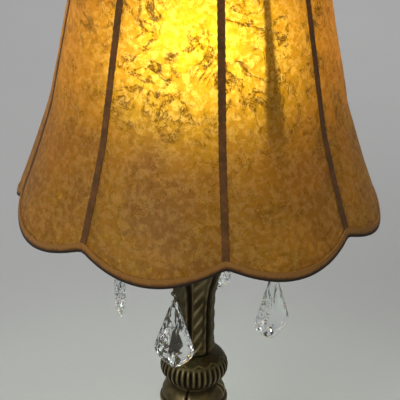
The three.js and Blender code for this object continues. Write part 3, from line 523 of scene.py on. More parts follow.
class Finish:
    """Builds one material. Grain sizes in it are counted per metre on the object itself."""

    def __init__(self, name, **sockets):
        self.material = bpy.data.materials.new(name)
        self.material.use_nodes = True
        self.nodes = self.material.node_tree.nodes
        self.links = self.material.node_tree.links
        self.shader = self.nodes["Principled BSDF"]
        self.spot = self.nodes.new("ShaderNodeTexCoord").outputs["Object"]
        for socket, value in sockets.items():
            self.put(self.shader.inputs[socket.replace("_", " ").title().replace("Ior", "IOR")], value)
        finishes[name] = self.material

    def put(self, socket, value):
        if isinstance(value, bpy.types.NodeSocket):
            self.links.new(value, socket)
        else:
            socket.default_value = value

    def node(self, kind, inputs, output=0, **settings):
        made = self.nodes.new(f"ShaderNode{kind}")
        for setting, value in settings.items():
            setattr(made, setting, value)
        for socket, value in inputs.items():
            self.put(made.inputs[socket], value)
        return made.outputs[output]

    def calc(self, operation, a, b=0.0, c=0.0):
        return self.node("Math", {0: a, 1: b, 2: c}, operation=operation)

    def times(self, a, b):
        return self.calc("MULTIPLY", a, b)

    def scaled(self, a, factor, more):
        """A value times a factor, and more on top."""
        return self.calc("MULTIPLY_ADD", a, factor, more)

    def grain(self, scale, detail=3.0, roughness=0.55, distortion=0.0, spot=None):
        sizes = {"Scale": scale, "Detail": detail, "Roughness": roughness, "Distortion": distortion}
        return self.node("TexNoise", {"Vector": spot or self.spot, **sizes})

    def span(self, value, low, high, to_low=0.0, to_high=1.0):
        limits = {"From Min": low, "From Max": high, "To Min": to_low, "To Max": to_high}
        return self.node("MapRange", {"Value": value, **limits}, interpolation_type="SMOOTHSTEP")

    def blend(self, share, a, b):
        return self.node("Mix", {0: share, 6: a, 7: b}, 2, data_type="RGBA")

    def stretched(self, scale, turn=(0, 0, 0)):
        return self.node("Mapping", {"Vector": self.spot, "Scale": scale, "Rotation": turn})

    def most(self, *values):
        """The largest of some values."""
        found = values[0]
        for value in values[1:]:
            found = self.calc("MAXIMUM", found, value)
        return found

    def coats(self, base, *coats):
        """The base colour with coats over it, each given by where it shows and its tint."""
        for share, colour in coats:
            base = self.blend(share, base, tint(*colour))
        return base

    def off(self, value, middle):
        """How far the value is from its middle."""
        return self.calc("ABSOLUTE", self.calc("SUBTRACT", value, middle))

    def lines(self, value, width):
        """1 where value crosses its middle, down to 0 at width away from it."""
        return self.span(self.off(value, 0.5), width, width * 0.25)

    def relief(self, height, distance, strength):
        depth = self.node("Bump", {"Height": height, "Distance": distance, "Strength": strength})
        self.put(self.shader.inputs["Normal"], depth)

    def colour(self, value):
        self.put(self.shader.inputs["Base Color"], value)

    def rough(self, value):
        self.put(self.shader.inputs["Roughness"], value)


finishes = {}


def bronze():
    """Dark olive patina, brown in the hollows and worn to dull gold on what stands out."""
    f = Finish("bronze", metallic=0.92)
    wear_and_shade = f.node("Attribute", {}, 2, attribute_name="wear_and_shade")
    patches = f.grain(42, 5, 0.6)
    fine = f.grain(420, 4, 0.6)
    worn = f.scaled(patches, 0.9, f.scaled(wear_and_shade, 1.1, -0.62))
    worn = f.span(f.scaled(fine, 0.35, worn), 0.12, 1.0)
    f.colour(f.coats(
        tint(60, 54, 30),
        (f.span(patches, 0.35, 0.68), (84, 74, 44)),
        (f.span(wear_and_shade, 0.3, 0.0), (30, 24, 15)),
        (worn, (132, 117, 84)),
    ))
    f.rough(f.scaled(fine, 0.28, f.span(worn, 0.0, 1.0, 0.4, 0.27)))
    f.relief(f.scaled(patches, 2.0, fine), 0.0003, 0.55)


def plain_metal(name, dark, light, roughness, streak):
    """A drawn or plated metal with fine streaks, spots and smudges."""
    f = Finish(name, metallic=1.0)
    smudge = f.grain(60, 4, 0.65)
    fine = f.grain(900, 3, 0.6, 0.0, f.stretched(streak))
    f.colour(f.blend(f.span(f.scaled(fine, 0.4, smudge), 0.45, 0.95), dark, light))
    f.rough(f.scaled(f.calc("ADD", smudge, fine), 0.22, roughness - 0.2))
    f.relief(fine, 0.0001, 0.5)


def parchment():
    """Hide-like sheet: mottled tan, short pale fibres, dark branching veins, a painted shadow of the harp's
    legs and a painted glow band, and lit through from inside.
    """
    f = Finish("parchment", ior=1.5, specular_ior_level=0.12, emission_strength=1.0)
    mottle = f.grain(24, 4, 0.6, 0.6)
    cloud = f.grain(9, 2, 0.5)
    fine = f.grain(330, 3, 0.7)
    fibres = [
        f.lines(f.grain(scale, 1.5, 0.5, 1.4, f.stretched((1, 1, 0.6), turn)), 0.075)
        for turn, scale in (((0, 0, 0), 250), ((0.4, 0.9, 0.3), 290), ((1.3, 0.2, 1.1), 330))
    ]
    pale = f.times(f.most(*fibres), f.span(f.grain(170, 2), 0.44, 0.6))
    main = f.grain(27, 5, 0.66, 0.9)
    veins = f.times(f.lines(main, 0.017), f.span(f.grain(21, 2), 0.43, 0.54))
    near = f.span(f.off(main, 0.5), 0.1, 0.03)
    twigs = f.times(f.lines(f.grain(84, 4, 0.66, 0.8), 0.03), near)
    twigs = f.times(twigs, f.span(f.grain(33, 2), 0.46, 0.56))
    veins = f.most(veins, twigs)
    parts = f.nodes.new("ShaderNodeSeparateXYZ")
    f.links.new(f.spot, parts.inputs[0])
    x, y, z = parts.outputs
    # Painted shadow of the harp's legs: a dark stripe at each leg's angle round the lamp, narrowing upwards
    # and fading out towards the rim
    angle = f.calc("ARCTAN2", x, f.times(y, -1.0))
    wide = f.span(z, HARP_SHADOW_LOW * MM, HARP_SHADOW_HIGH * MM, *HARP_SHADOW_HALF_ANGLES)
    legs = [
        f.span(f.calc("DIVIDE", f.off(angle, math.radians(side)), wide), 1.0, 0.3)
        for side in (HARP_SHADOW_TURN, HARP_SHADOW_TURN - 180)
    ]
    shade = f.times(f.most(*legs), f.span(z, (SHADE_RIM + 50) * MM, (SHADE_RIM + 130) * MM))
    f.colour(f.coats(
        tint(172, 116, 10),
        (f.span(mottle, 0.3, 0.7), (204, 146, 15)),
        (f.span(cloud, 0.3, 0.7, 0.0, 0.45), (186, 116, 22)),
        (f.span(fine, 0.3, 0.6, 0.4, 0.0), (112, 74, 8)),
        (f.times(pale, 0.52), (232, 184, 92)),
        (f.times(veins, 0.3), (96, 64, 10)),
        # painted shadow of the harp's legs
        (f.times(shade, 0.4), (96, 52, 8)),
    ))
    # Painted glow: emission in a band round the bulb's height stands in for the bulb's light shining through,
    # dimmed along the veins and in the painted harp shadow
    band = f.span(z, (SHADE_RIM + 40) * MM, GLOW_MIDDLE * MM)
    band = f.times(band, f.span(z, (SHADE_TOP + 60) * MM, GLOW_MIDDLE * MM, 0.4, 1.0))
    light = f.times(band, f.scaled(shade, -0.85, 1.0))
    light = f.times(light, f.scaled(veins, -0.7, 1.0))
    f.put(f.shader.inputs["Emission Color"], f.blend(light, (0, 0, 0, 1), GLOW_COLOUR))
    # Less light is let through along the veins and in the painted shadow of the harp's legs
    dark = f.most(f.times(veins, 0.85), f.times(shade, 0.56))
    f.put(f.shader.inputs["Transmission Weight"], f.span(dark, 0.0, 1.0, THROUGH, 0.0))
    f.rough(f.span(mottle, 0.2, 0.8, 0.6, 0.68))
    height = f.scaled(mottle, 1.5, f.times(pale, 0.5))
    f.relief(f.calc("SUBTRACT", height, veins), 0.0003, 0.4)


def ribbon():
    """Brown woven ribbon with a fine ribbed weave. The attribute it reads makes it dark near each binding's
    rolled edge, which is painted shade where the bottom binding turns under, and lighter and parchment-like
    away from that edge.
    """
    f = Finish("trim_ribbon", sheen_weight=0.05, sheen_roughness=0.6, specular_ior_level=0.2)
    light = f.node("Attribute", {}, 2, attribute_name="wear_and_shade")
    patches = f.grain(55, 4, 0.6)
    weave = f.node("TexWave", {"Vector": f.spot, "Scale": 330, "Distortion": 1.2, "Detail": 2}, 1,
                   wave_type="BANDS", bands_direction="Z")
    fine = f.grain(500, 3, 0.6)
    uneven = f.scaled(f.grain(160, 3), 0.9, light)
    f.colour(f.coats(
        tint(94, 64, 30),
        (f.span(patches, 0.3, 0.7), (126, 80, 42)),
        (f.times(weave, 0.3), (68, 46, 22)),
        (f.span(fine, 0.55, 0.8, 0.0, 0.35), (150, 112, 70)),
        # painted dark near each binding's rolled edge: painted shade where the bottom binding turns under
        (f.span(light, 0.42, 0.1), (40, 30, 19)),
        (f.span(uneven, 0.85, 1.4), (160, 111, 50)),
    ))
    f.rough(f.span(patches, 0.2, 0.8, 0.75, 0.95))
    f.relief(f.calc("ADD", weave, fine), 0.0004, 0.7)


def crystal():
    f = Finish("crystal", transmission_weight=1.0, ior=1.54, specular_ior_level=0.6)
    f.colour(f.blend(f.span(f.grain(30, 2), 0.3, 0.7), (0.97, 0.99, 0.99, 1), (0.93, 0.96, 0.95, 1)))
    f.rough(f.span(f.grain(90, 3), 0.4, 0.8, 0.0, 0.035))
    f.relief(f.grain(45, 2), 0.0002, 0.12)


def lit_glass():
    f = Finish("lit_glass", roughness=0.35, emission_strength=BULB_STRENGTH)
    f.colour(tint(250, 240, 214))
    cloud = f.span(f.grain(60, 2), 0.3, 0.7)
    f.put(f.shader.inputs["Emission Color"], f.blend(cloud, (0.84, 1.0, 0.26, 1), (0.88, 1.0, 0.3, 1)))


def dull(name, dark, light, scale, roughness, distance):
    """A dull surface: felt, card, moulded plastic, raw iron or painted wire."""
    f = Finish(name)
    coarse = f.grain(scale, 4, 0.65)
    fine = f.grain(scale * 6, 3, 0.7)
    f.colour(f.blend(f.span(f.scaled(fine, 0.5, coarse), 0.5, 1.0), dark, light))
    f.rough(f.span(coarse, 0.2, 0.8, roughness - 0.12, roughness))
    f.relief(f.scaled(fine, 1.5, coarse), distance, 0.8)


bronze()
parchment()
ribbon()
crystal()
lit_glass()
plain_metal("brass", tint(112, 84, 38), tint(186, 152, 88), 0.38, (1, 1, 0.05))
plain_metal("steel", tint(120, 120, 116), tint(186, 186, 180), 0.36, (0.1, 0.1, 1))
dull("iron", tint(36, 36, 38), tint(70, 64, 60), 160, 0.85, 0.0005)
dull("felt", tint(34, 46, 30), tint(66, 84, 58), 300, 1.0, 0.0008)
dull("black_phenolic", tint(24, 20, 18), tint(48, 40, 34), 120, 0.55, 0.0001)
dull("insulating_card", tint(128, 104, 70), tint(168, 142, 102), 200, 0.95, 0.0003)
dull("wire", tint(26, 22, 20), tint(58, 48, 40), 220, 0.6, 0.0001)


# Foot, stem and urn

foot_slope = profile((
    (FOOT_RADIUS - FOOT_STEP, FOOT_SLOPE_BOTTOM),
    (FOOT_RADIUS * 0.79, FOOT_PLINTH_TOP + 9),
    (FOOT_RADIUS * 0.58, FOOT_PLINTH_TOP + 12.6),
    (FOOT_RADIUS * 0.38, FOOT_PLINTH_TOP + 17.6),
    (FOOT_NECK_RADIUS, FOOT_TOP),
), 14)
foot_drop = FOOT_WALL * 1.3
foot_section = [
    (BORE, FOOT_TOP),
    (BORE, FOOT_TOP - foot_drop),
    *[(radius - FOOT_WALL, height - foot_drop) for radius, height in reversed(foot_slope)][::4],
    (FOOT_RADIUS - FOOT_WALL, FOOT_PLINTH_TOP - FOOT_WALL),
    (FOOT_RADIUS - FOOT_WALL, FOOT_BOTTOM),
    *rounded([
        (FOOT_RADIUS - 1, FOOT_BOTTOM),
        (FOOT_RADIUS, FOOT_BOTTOM),
        (FOOT_RADIUS, FOOT_PLINTH_TOP - 3),
        (FOOT_RADIUS - 2, FOOT_PLINTH_TOP - 2.4),
        (FOOT_RADIUS - 2.2, FOOT_PLINTH_TOP),
        (FOOT_RADIUS - FOOT_STEP, FOOT_PLINTH_TOP + 2.4),
    ], 0.9, 3, False),
    *foot_slope,
]


def foot_relief(radius, height, angle):
    """Gadroons round the plinth and long lobed leaves up the slope."""
    if radius < FOOT_NECK_RADIUS or height < FOOT_BOTTOM + 1:
        return HIDDEN
    slope = (height - FOOT_SLOPE_BOTTOM) / (FOOT_TOP - FOOT_SLOPE_BOTTOM)
    if slope <= 0:
        ridge = ridges(angle, FOOT_LEAVES)
        band = smooth(height, FOOT_BOTTOM + 1, FOOT_BOTTOM + 3)
        band *= smooth(height, FOOT_PLINTH_TOP - 2.5, FOOT_PLINTH_TOP - 4)
        return (ridge**0.8 - 1) * 1.3 * band, 0.15 + 0.6 * ridge**4 if band > 0.3 else 0.55
    lobe = math.cos(math.radians(angle * FOOT_LOBES))
    vein = abs(math.sin(math.radians(angle * FOOT_LOBES / 2)))
    middle = math.sin(math.pi * slope)
    out = 1.6 * middle * lobe + 0.7 * middle * bump(vein, 1, 0.12)
    return out, 0.3 + 0.35 * middle * lobe + 0.4 * bump(vein, 1, 0.1)


foot = turned("foot_casting", foot_section, 288, "base", "bronze", ["foot"], foot_relief)
hole_ends = [(0, FOOT_RADIUS + reach, BUSHING_HEIGHT) for reach in (-14, 4)]
drilled(foot, *hole_ends, BUSHING_HOLE_RADIUS, 24)

turned("lower_stem_casting", rounded(at_shares(STEM_BOTTOM, STEM_HEIGHT, (
    (BORE, 0), (FOOT_NECK_RADIUS, 0), (FOOT_NECK_RADIUS, 0.14), (STEM_WAIST_RADIUS + 1, 0.25),
    (STEM_WAIST_RADIUS, 0.4), (STEM_WAIST_RADIUS + 0.6, 0.55), (STEM_RING_RADIUS, 0.6),
    (STEM_RING_RADIUS, 0.75), (URN_WAIST_RADIUS, 0.84), (URN_WAIST_RADIUS, 1), (BORE, 1),
)), 1.6, 4), 96, "base", "bronze", ["lower_stem"], lambda radius, height, angle: (
    0, 0.2 + 0.5 * smooth(radius, STEM_WAIST_RADIUS + 1, STEM_RING_RADIUS + 1)))


def urn_relief(radius, height, angle):
    """Lobes over the belly, a reeded lip and a small leaf at the foot of each lobe."""
    if radius < URN_WAIST_RADIUS:
        return HIDDEN
    share = (height - URN_BOTTOM) / URN_HEIGHT
    lobe = ridges(angle, URN_LOBES)
    bowl = smooth(share, 0.12, 0.3) * smooth(share, 0.84, 0.66)
    reed = ridges(angle, URN_REEDS) * smooth(share, 0.88, 0.91) * smooth(share, 0.99, 0.965)
    leaf = bump(lobe, 1, 0.05) * smooth(share, 0.12, 0.2) * smooth(share, 0.55, 0.3)
    out = URN_LOBE_DEPTH * bowl * (2 * lobe**0.8 - 1) + 0.5 * leaf + 0.7 * (reed - 0.7) * (reed > 0)
    return out, 0.15 + 0.4 * bowl * lobe**3 + 0.3 * leaf + 0.5 * reed


turned("urn_casting", [
    (BORE, URN_BOTTOM),
    (URN_WAIST_RADIUS, URN_BOTTOM),
    *profile(at_shares(URN_BOTTOM, URN_HEIGHT, (
        (URN_WAIST_RADIUS, 0.1), (URN_BELLY_RADIUS * 0.78, 0.3), (URN_BELLY_RADIUS, 0.52),
        (URN_BELLY_RADIUS * 0.95, 0.72), (URN_BELLY_RADIUS * 0.76, 0.86),
    )), 9),
    *rounded([
        *at_shares(URN_BOTTOM, URN_HEIGHT, (
            (URN_BELLY_RADIUS * 0.76, 0.87), (URN_TOP_RADIUS - 2, 0.9), (URN_TOP_RADIUS, 0.94))),
        (URN_TOP_RADIUS, URN_TOP - 0.6),
        (URN_TOP_RADIUS - 1, URN_TOP),
        (BORE, URN_TOP),
    ], 0.8, 3, False),
], 288, "base", "bronze", ["urn_bowl"], urn_relief)

# Beaded ring, creased shoulder and knob


def bead_relief(radius, height, angle):
    """Round beads in the groove between two narrow rims."""
    if radius < SHOULDER_FOOT_RADIUS - 0.5:
        return HIDDEN
    across = (height - BEAD_BOTTOM) / BEAD_RING_HEIGHT * 2 - 1
    along = (angle * BEAD_COUNT / 360 % 1) * 2 - 1
    pearl = math.sqrt(max(0, 1 - along**2)) * math.sqrt(max(0, 1 - (across / BEAD_HEIGHT_SHARE) ** 2))
    return BEAD_DEPTH * pearl, 0.05 + 0.8 * pearl**2


turned("bead_ring_casting", dense(rounded([
    (BORE, BEAD_BOTTOM),
    (SHOULDER_FOOT_RADIUS, BEAD_BOTTOM),
    (SHOULDER_FOOT_RADIUS + 0.6, BEAD_BOTTOM + 1.2),
    (BEAD_RING_RADIUS - BEAD_DEPTH, BEAD_BOTTOM + 1.8),
    (BEAD_RING_RADIUS - BEAD_DEPTH, BEAD_TOP - 1.8),
    (SHOULDER_FOOT_RADIUS + 0.6, BEAD_TOP - 1.2),
    (SHOULDER_FOOT_RADIUS, BEAD_TOP),
    (BORE, BEAD_TOP),
], 0.5, 2), 0.7), BEAD_COUNT * 10, "base", "bronze", ["bead_ring"], bead_relief, 60)


def shoulder_relief(radius, height, angle):
    """Creases at the corners, each between two low lips."""
    if radius < SHOULDER_TOP_RADIUS - 0.5:
        return HIDDEN
    share = (height - SHOULDER_BOTTOM) / SHOULDER_HEIGHT
    span = 360 / SHOULDER_CREASES
    off = (angle - ARM_TURN + span / 2) % span - span / 2
    crease = bump(off, 0, 2.2) * smooth(share, 0.02, 0.2) * smooth(share, 0.98, 0.8)
    lip = bump(abs(off), 6, 3) * smooth(share, 0.02, 0.3) * smooth(share, 0.9, 0.6)
    return 0.5 * lip - SHOULDER_CREASE_DEPTH * crease, 0.35 + 0.5 * lip - 0.5 * crease


def shoulder_dome(steps):
    """The rounded side of the shoulder, from its foot up to its rim."""
    low = SHOULDER_BOTTOM
    middle = SHOULDER_BOTTOM + SHOULDER_HEIGHT * 0.7
    high = SHOULDER_TOP - SHOULDER_HEIGHT * 0.14
    made = []
    for k in range(steps + 1):
        t = k / steps
        radius = lerp(SHOULDER_FOOT_RADIUS, lerp(SHOULDER_FOOT_RADIUS, SHOULDER_TOP_RADIUS, t), t)
        made.append((radius, lerp(lerp(low, middle, t), lerp(middle, high, t), t)))
    return made


turned("shoulder_casting", [
    (BORE, SHOULDER_TOP),
    (BORE, SHOULDER_BOTTOM),
    *shoulder_dome(18),
    (SHOULDER_TOP_RADIUS, SHOULDER_TOP),
], 360, "base", "bronze", ["shoulder"], shoulder_relief, 50)


def on_knob(latitude):
    across, up = circle(1, latitude)
    return KNOB_RADIUS * across, KNOB_MIDDLE + KNOB_HALF_HEIGHT * up


def knob_relief(radius, height, angle):
    """Gadroons round the middle, with low petals laid over the top."""
    if radius < COLUMN_RADIUS:
        return HIDDEN
    rise = min(1, max(-1, (height - KNOB_MIDDLE) / KNOB_HALF_HEIGHT))
    latitude = math.degrees(math.asin(rise))
    ridge = ridges(angle, GADROON_COUNT)
    band = smooth(latitude, GADROON_BOTTOM - 3, GADROON_BOTTOM + 4)
    band *= smooth(latitude, GADROON_TOP + 2, GADROON_TOP - 12)
    petal = ridges(angle - LEAF_TURN, KNOB_PETALS)
    top = smooth(latitude, GADROON_TOP + 1, GADROON_TOP + 4)
    edge = bump(latitude, GADROON_TOP + 3 + 7 * (1 - petal), 1.6) * top
    out = GADROON_DEPTH * band * (ridge**0.75 - 1) + 0.5 * edge
    return out, 0.3 + band * (0.75 * ridge**6 - 0.25) + 0.3 * edge - 0.2 * top


turned("knob_casting", [
    (BORE, KNOB_TOP),
    (BORE, KNOB_BOTTOM),
    *rounded([
        (KNOB_NECK_RADIUS - 1, KNOB_BOTTOM),
        (KNOB_NECK_RADIUS, KNOB_BOTTOM),
        on_knob(GADROON_BOTTOM - 9),
        on_knob(GADROON_BOTTOM - 4),
    ], 1, 3, False),
    *[on_knob(lerp(GADROON_BOTTOM - 3, KNOB_TOP_LATITUDE, k / 44)) for k in range(45)],
    (COLUMN_RADIUS, KNOB_TOP),
], GADROON_COUNT * 12, "base", "bronze", ["knob"], knob_relief, 50)

# Leaf column


def leaf_relief(radius, height, angle):
    """Leaves with a midrib, slanting barbs on the right half, knotted borders and a groove on the left half.
    Every second leaf has fainter barbs, and small sepals ring the column's foot."""
    share = (height - COLUMN_BOTTOM) / COLUMN_HEIGHT
    if radius < COLUMN_RADIUS - 0.1 or share < 0.004:
        return HIDDEN
    span = 360 / LEAF_COUNT
    turn = angle - LEAF_TURN
    off = (turn + LEAF_BORDER) % span - LEAF_BORDER
    climb = (height - COLUMN_BOTTOM) / BARB_PITCH - off * BARB_CLIMB / 10
    barb = (0.5 + 0.5 * math.cos(2 * math.pi * climb)) ** 3
    barbed = 1 if int((turn + LEAF_BORDER) // span) % 2 == 0 else 0.25
    blade = smooth(off, 1.5, 5) * smooth(off, 33, 28)
    border = bump(off, -LEAF_BORDER, 3.2) + bump(off, span - LEAF_BORDER, 3.2)
    knot = (0.5 + 0.5 * math.cos(2 * math.pi * (climb - 0.3))) ** 2
    midrib = bump(off, 0, 2.0)
    groove = bump(off, -10.5, 5.5)
    sepal = smooth(share, 0.075, 0.055) * ridges(turn, SEPALS)
    out = 1.3 * midrib + blade * (1.25 * barb * barbed - 0.5) + border * (0.9 + 0.8 * knot) - 1.7 * groove
    out = out * smooth(share, 0.0, 0.05) + 1.6 * sepal * smooth(share, 0.0, 0.02)
    wear_and_shade = 0.25 + 0.45 * midrib * barbed + 0.6 * blade * barb * barbed**2
    return out, wear_and_shade + border * (0.2 + 0.55 * knot) - 0.4 * groove + 0.2 * sepal


def column_side(share):
    """A place up the column's side, which flares like a bell."""
    flare = max(0, (share - COLUMN_FLARE_START) / (1 - COLUMN_FLARE_START))
    radius = COLUMN_RADIUS + (COLUMN_LIP_RADIUS - COLUMN_RADIUS) * flare**COLUMN_FLARE_POWER
    return radius, COLUMN_BOTTOM + COLUMN_HEIGHT * share


turned("leaf_column_casting", [
    (BORE, COLUMN_TOP - COLUMN_DISH),
    (BORE, COLUMN_BOTTOM),
    (COLUMN_RADIUS - 1, COLUMN_BOTTOM),
    *[column_side(k / 200) for k in range(200)],
    *rounded([
        (COLUMN_LIP_RADIUS - 0.4, COLUMN_TOP - 0.6),
        (COLUMN_LIP_RADIUS - 1, COLUMN_TOP),
        (COLUMN_LIP_RADIUS - COLUMN_LIP_WALL, COLUMN_TOP - 2),
        (HUB_RIM_RADIUS + FIT_GAP, COLUMN_TOP - COLUMN_DISH),
    ], 1, 3, False),
], 360, "base", "bronze", ["leaf_column"], leaf_relief, 60)

# Arm hub, scroll arms, hooks and crystals


def hub_relief(radius, height, angle):
    """Fine reeds on the two rims."""
    rim = smooth(radius, HUB_RADIUS, HUB_RIM_RADIUS)
    return 0.35 * ridges(angle, HUB_REEDS) * smooth(radius, HUB_RADIUS + 2, HUB_RIM_RADIUS), 0.2 + 0.5 * rim


turned("arm_hub_casting", dense(rounded(at_shares(HUB_BOTTOM, HUB_HEIGHT, (
    (BORE, 0), (HUB_RIM_RADIUS, 0), (HUB_RIM_RADIUS, 0.12), (HUB_RADIUS, 0.24), (HUB_RADIUS, 0.76),
    (HUB_RIM_RADIUS, 0.86), (HUB_RIM_RADIUS, 0.94), (RISER_COLLAR_RADIUS, 1), (BORE, 1),
)), 1.2, 4), 1.2), 160, "base", "bronze", ["arm_hub"], hub_relief)


def turn_to(points, degrees, shift=(0, 0, 0)):
    """Points shifted, then turned about the upright axis."""
    spin = Matrix.Rotation(math.radians(degrees), 3, "Z")
    return [spin @ (Vector(point) + Vector(shift)) for point in points]


arm_line = curve([Vector((reach, 0, height)) for reach, height in (
    (HUB_RADIUS + FIT_GAP, ARM_HEIGHT),
    (HUB_RADIUS + ARM_REACH * 0.17, ARM_HEIGHT - ARM_CREST * 0.03),
    (ARM_REACH * 0.54, ARM_HEIGHT + ARM_CREST * 0.35),
    (ARM_REACH * 0.72, ARM_HEIGHT + ARM_CREST * 0.95),
    (ARM_REACH * 0.9, ARM_HEIGHT + ARM_CREST),
    (ARM_REACH * 1.02, ARM_HEIGHT + ARM_CREST * 0.55),
    (ARM_REACH, EYE_HEIGHT + EYE_RING_RADIUS),
)], 12)
arm_steps = len(arm_line)
arm_radii = [
    lerp(ARM_ROOT_RADIUS, ARM_TIP_RADIUS, i / arm_steps) * (1 + 0.08 * math.cos(i * 0.9))
    + 0.5 * bump(i, 2, 1.6)
    for i in range(arm_steps)
]


def on_ring(reach, height, radius, degrees):
    """A place on a ring that stands upright along an arm."""
    across, up = circle(radius, degrees)
    return Vector((reach + across, 0, height + up))


def arm_curl(steps):
    """A small scroll under the arm that winds inwards and gets thinner."""
    shares = [k / steps for k in range(steps)]
    line = [
        on_ring(ARM_REACH * 0.5, ARM_HEIGHT + 0.5, CURL_RADIUS * (1 - 0.55 * share), CURL_SWEEP * share - 200)
        for share in shares
    ]
    return tube(line, [2.0 - 0.84 * share for share in shares], 12)


def arm_leaf(rows):
    """A leaf laid over the arm's back, crossed by low waves."""
    made = []
    for k in range(rows):
        at, radius = arm_line[6 + 2 * k], arm_radii[6 + 2 * k]
        wide = ARM_LEAF_HALF_WIDTH * math.sin(math.pi * min(1, (k + 0.6) / rows)) ** 0.8
        top = []
        for side in (-1, -0.5, 0, 0.5, 1):
            lift = radius + 0.7 - 1.6 * side * side + 0.5 * math.cos(k * 2.1) * abs(side)
            top.append(at + Vector((0, wide * side, lift)))
        made.append(top + [point - Vector((0, 0, ARM_LEAF_THICKNESS)) for point in reversed(top)])
    return slab(made)


eye_line = [on_ring(ARM_REACH, EYE_HEIGHT, EYE_RING_RADIUS, 360 * k / 32) for k in range(32)]
arm_points, arm_faces = combined(
    tube(arm_line, arm_radii, 20),
    tube(eye_line, EYE_WIRE_RADIUS, 12, True),
    arm_curl(24),
    arm_leaf(13),
)


def hook_shape(turn):
    """An S of wire whose lower bow is turned to face the way its crystal does."""

    def bow(way, height, radius, angles):
        places = [circle(radius, angle) for angle in angles]
        return [way * across + Vector((0, 0, height + up)) for across, up in places]

    upper = bow(Vector((0, 1, 0)), -HOOK_TOP_RADIUS, HOOK_TOP_RADIUS, (-25, 10, 45, 90, 135, 165, 190))
    middle = Vector((0, 0, (HOOK_BOTTOM_RADIUS - HOOK_TOP_RADIUS - HOOK_LENGTH) / 2))
    way = Vector((*circle(1, turn), 0))
    bottom_angles = (0, -22, -45, -90, -135, -165, -190)
    lower = bow(way, HOOK_BOTTOM_RADIUS - HOOK_LENGTH, HOOK_BOTTOM_RADIUS, bottom_angles)
    line = curve([*upper, middle, *lower], 6)
    radii = [HOOK_WIRE_RADIUS] * len(line)
    radii[0] = radii[-1] = HOOK_WIRE_RADIUS * 0.6
    return tube(line, radii, 12)


def crystal_shape():
    """A flat drop with a table on each face, ringed by rows of triangular facets."""
    points, faces = [], []
    outline = [*CRYSTAL_RIM, *[(down, -wide) for down, wide in reversed(CRYSTAL_RIM)]]
    count = len(outline)
    rings = len(CRYSTAL_RINGS)
    for side in (0, 1):
        for share, shift, full in CRYSTAL_RINGS:
            for i in range(count):
                (down, wide), after = outline[i], outline[(i + 1) % count]
                down, wide = lerp(down, after[0], shift), lerp(wide, after[1], shift)
                netted = wide < CRYSTAL_NET_EDGE and 0 < full < 1
                thick = full * (CRYSTAL_NET[i % 2] if netted else 1)
                depth = CRYSTAL_EDGE / 2
                if thick:
                    depth = lerp(CRYSTAL_HEAD / 2, CRYSTAL_THICKNESS / 2 * thick, smooth(down, 0.0, 0.3))
                points.append(Vector((
                    -depth if side else depth,
                    wide * share * CRYSTAL_WIDTH / 2,
                    CRYSTAL_TOP - CRYSTAL_LENGTH * lerp(CRYSTAL_MIDDLE, down, share),
                )))
        for ring in range(rings - 1):
            here = (side * rings + ring) * count
            for i in range(count):
                a, b = here + i, here + (i + 1) % count
                c, d = a + count, b + count
                made = [(a, b, c), (b, d, c)] if CRYSTAL_RINGS[ring + 1][1] else [(a, b, d), (a, d, c)]
                faces.extend(made if side else [face[::-1] for face in made])
        last = (side * rings + rings - 1) * count
        table = tuple(range(last, last + count))
        faces.append(table[::-1] if side else table)
    for i in range(count):
        k = (i + 1) % count
        faces.append((i, k, rings * count + k, rings * count + i))
    return points, faces


for i, turn in enumerate(CRYSTAL_TURNS):
    spin = ARM_TURN + 360 / ARM_COUNT * i - 90
    name = i + 1
    place(f"scroll_arm_casting_{name}", turn_to(arm_points, spin), arm_faces, "base", "bronze",
          [f"scroll_arm_{name}"], 50, [0.45] * len(arm_points))
    points, faces = hook_shape(turn)
    points = turn_to(points, spin, (ARM_REACH, 0, HOOK_HEIGHT))
    place(f"wire_hook_{name}", points, faces, f"hook_{name}", "wire", [f"hook_{name}"])
    hung = (ARM_REACH, 0, HOOK_HEIGHT - HOOK_LENGTH)
    points, faces = crystal_shape()
    points = turn_to(turn_to(points, turn), spin, hung)
    drop = place(f"crystal_drop_{name}", points, faces, f"crystal_{name}", "crystal", [f"crystal_{name}"], 5)
    points, faces = tube([Vector((x, 0, -CRYSTAL_HOLE_DROP)) for x in (-9, 9)], CRYSTAL_HOLE_RADIUS, 20)
    bored(drop, turn_to(turn_to(points, turn), spin, hung), faces)

# Riser, check ring, harp with its saddle and ferrules, and the stud


def riser_relief(radius, height, angle):
    """Shallow flutes."""
    return 0.3 * (ridges(angle, RISER_FLUTES) - 1) * (radius > RISER_RADIUS - 0.5), 0.3


turned("riser_casting", dense(rounded([
    (RISER_RADIUS - RISER_WALL, RISER_BOTTOM),
    (RISER_COLLAR_RADIUS, RISER_BOTTOM),
    (RISER_COLLAR_RADIUS, RISER_BOTTOM + 6),
    (RISER_RADIUS, RISER_BOTTOM + 9),
    (RISER_RADIUS, RISER_TOP),
    (RISER_RADIUS - RISER_WALL, RISER_TOP),
], 0.8, 3), 3), 96, "base", "bronze", ["riser_sleeve"], riser_relief)
turned("check_ring_brass", rounded(at_shares(CHECK_RING_BOTTOM, CHECK_RING_HEIGHT, (
    (BORE, 0), (RISER_RADIUS, 0), (CHECK_RING_RADIUS, 0.35), (CHECK_RING_RADIUS, 0.75),
    (CHECK_RING_RADIUS * 0.8, 1), (BORE, 1),
)), 0.7, 4), 72, "base", "brass", ["check_ring"])


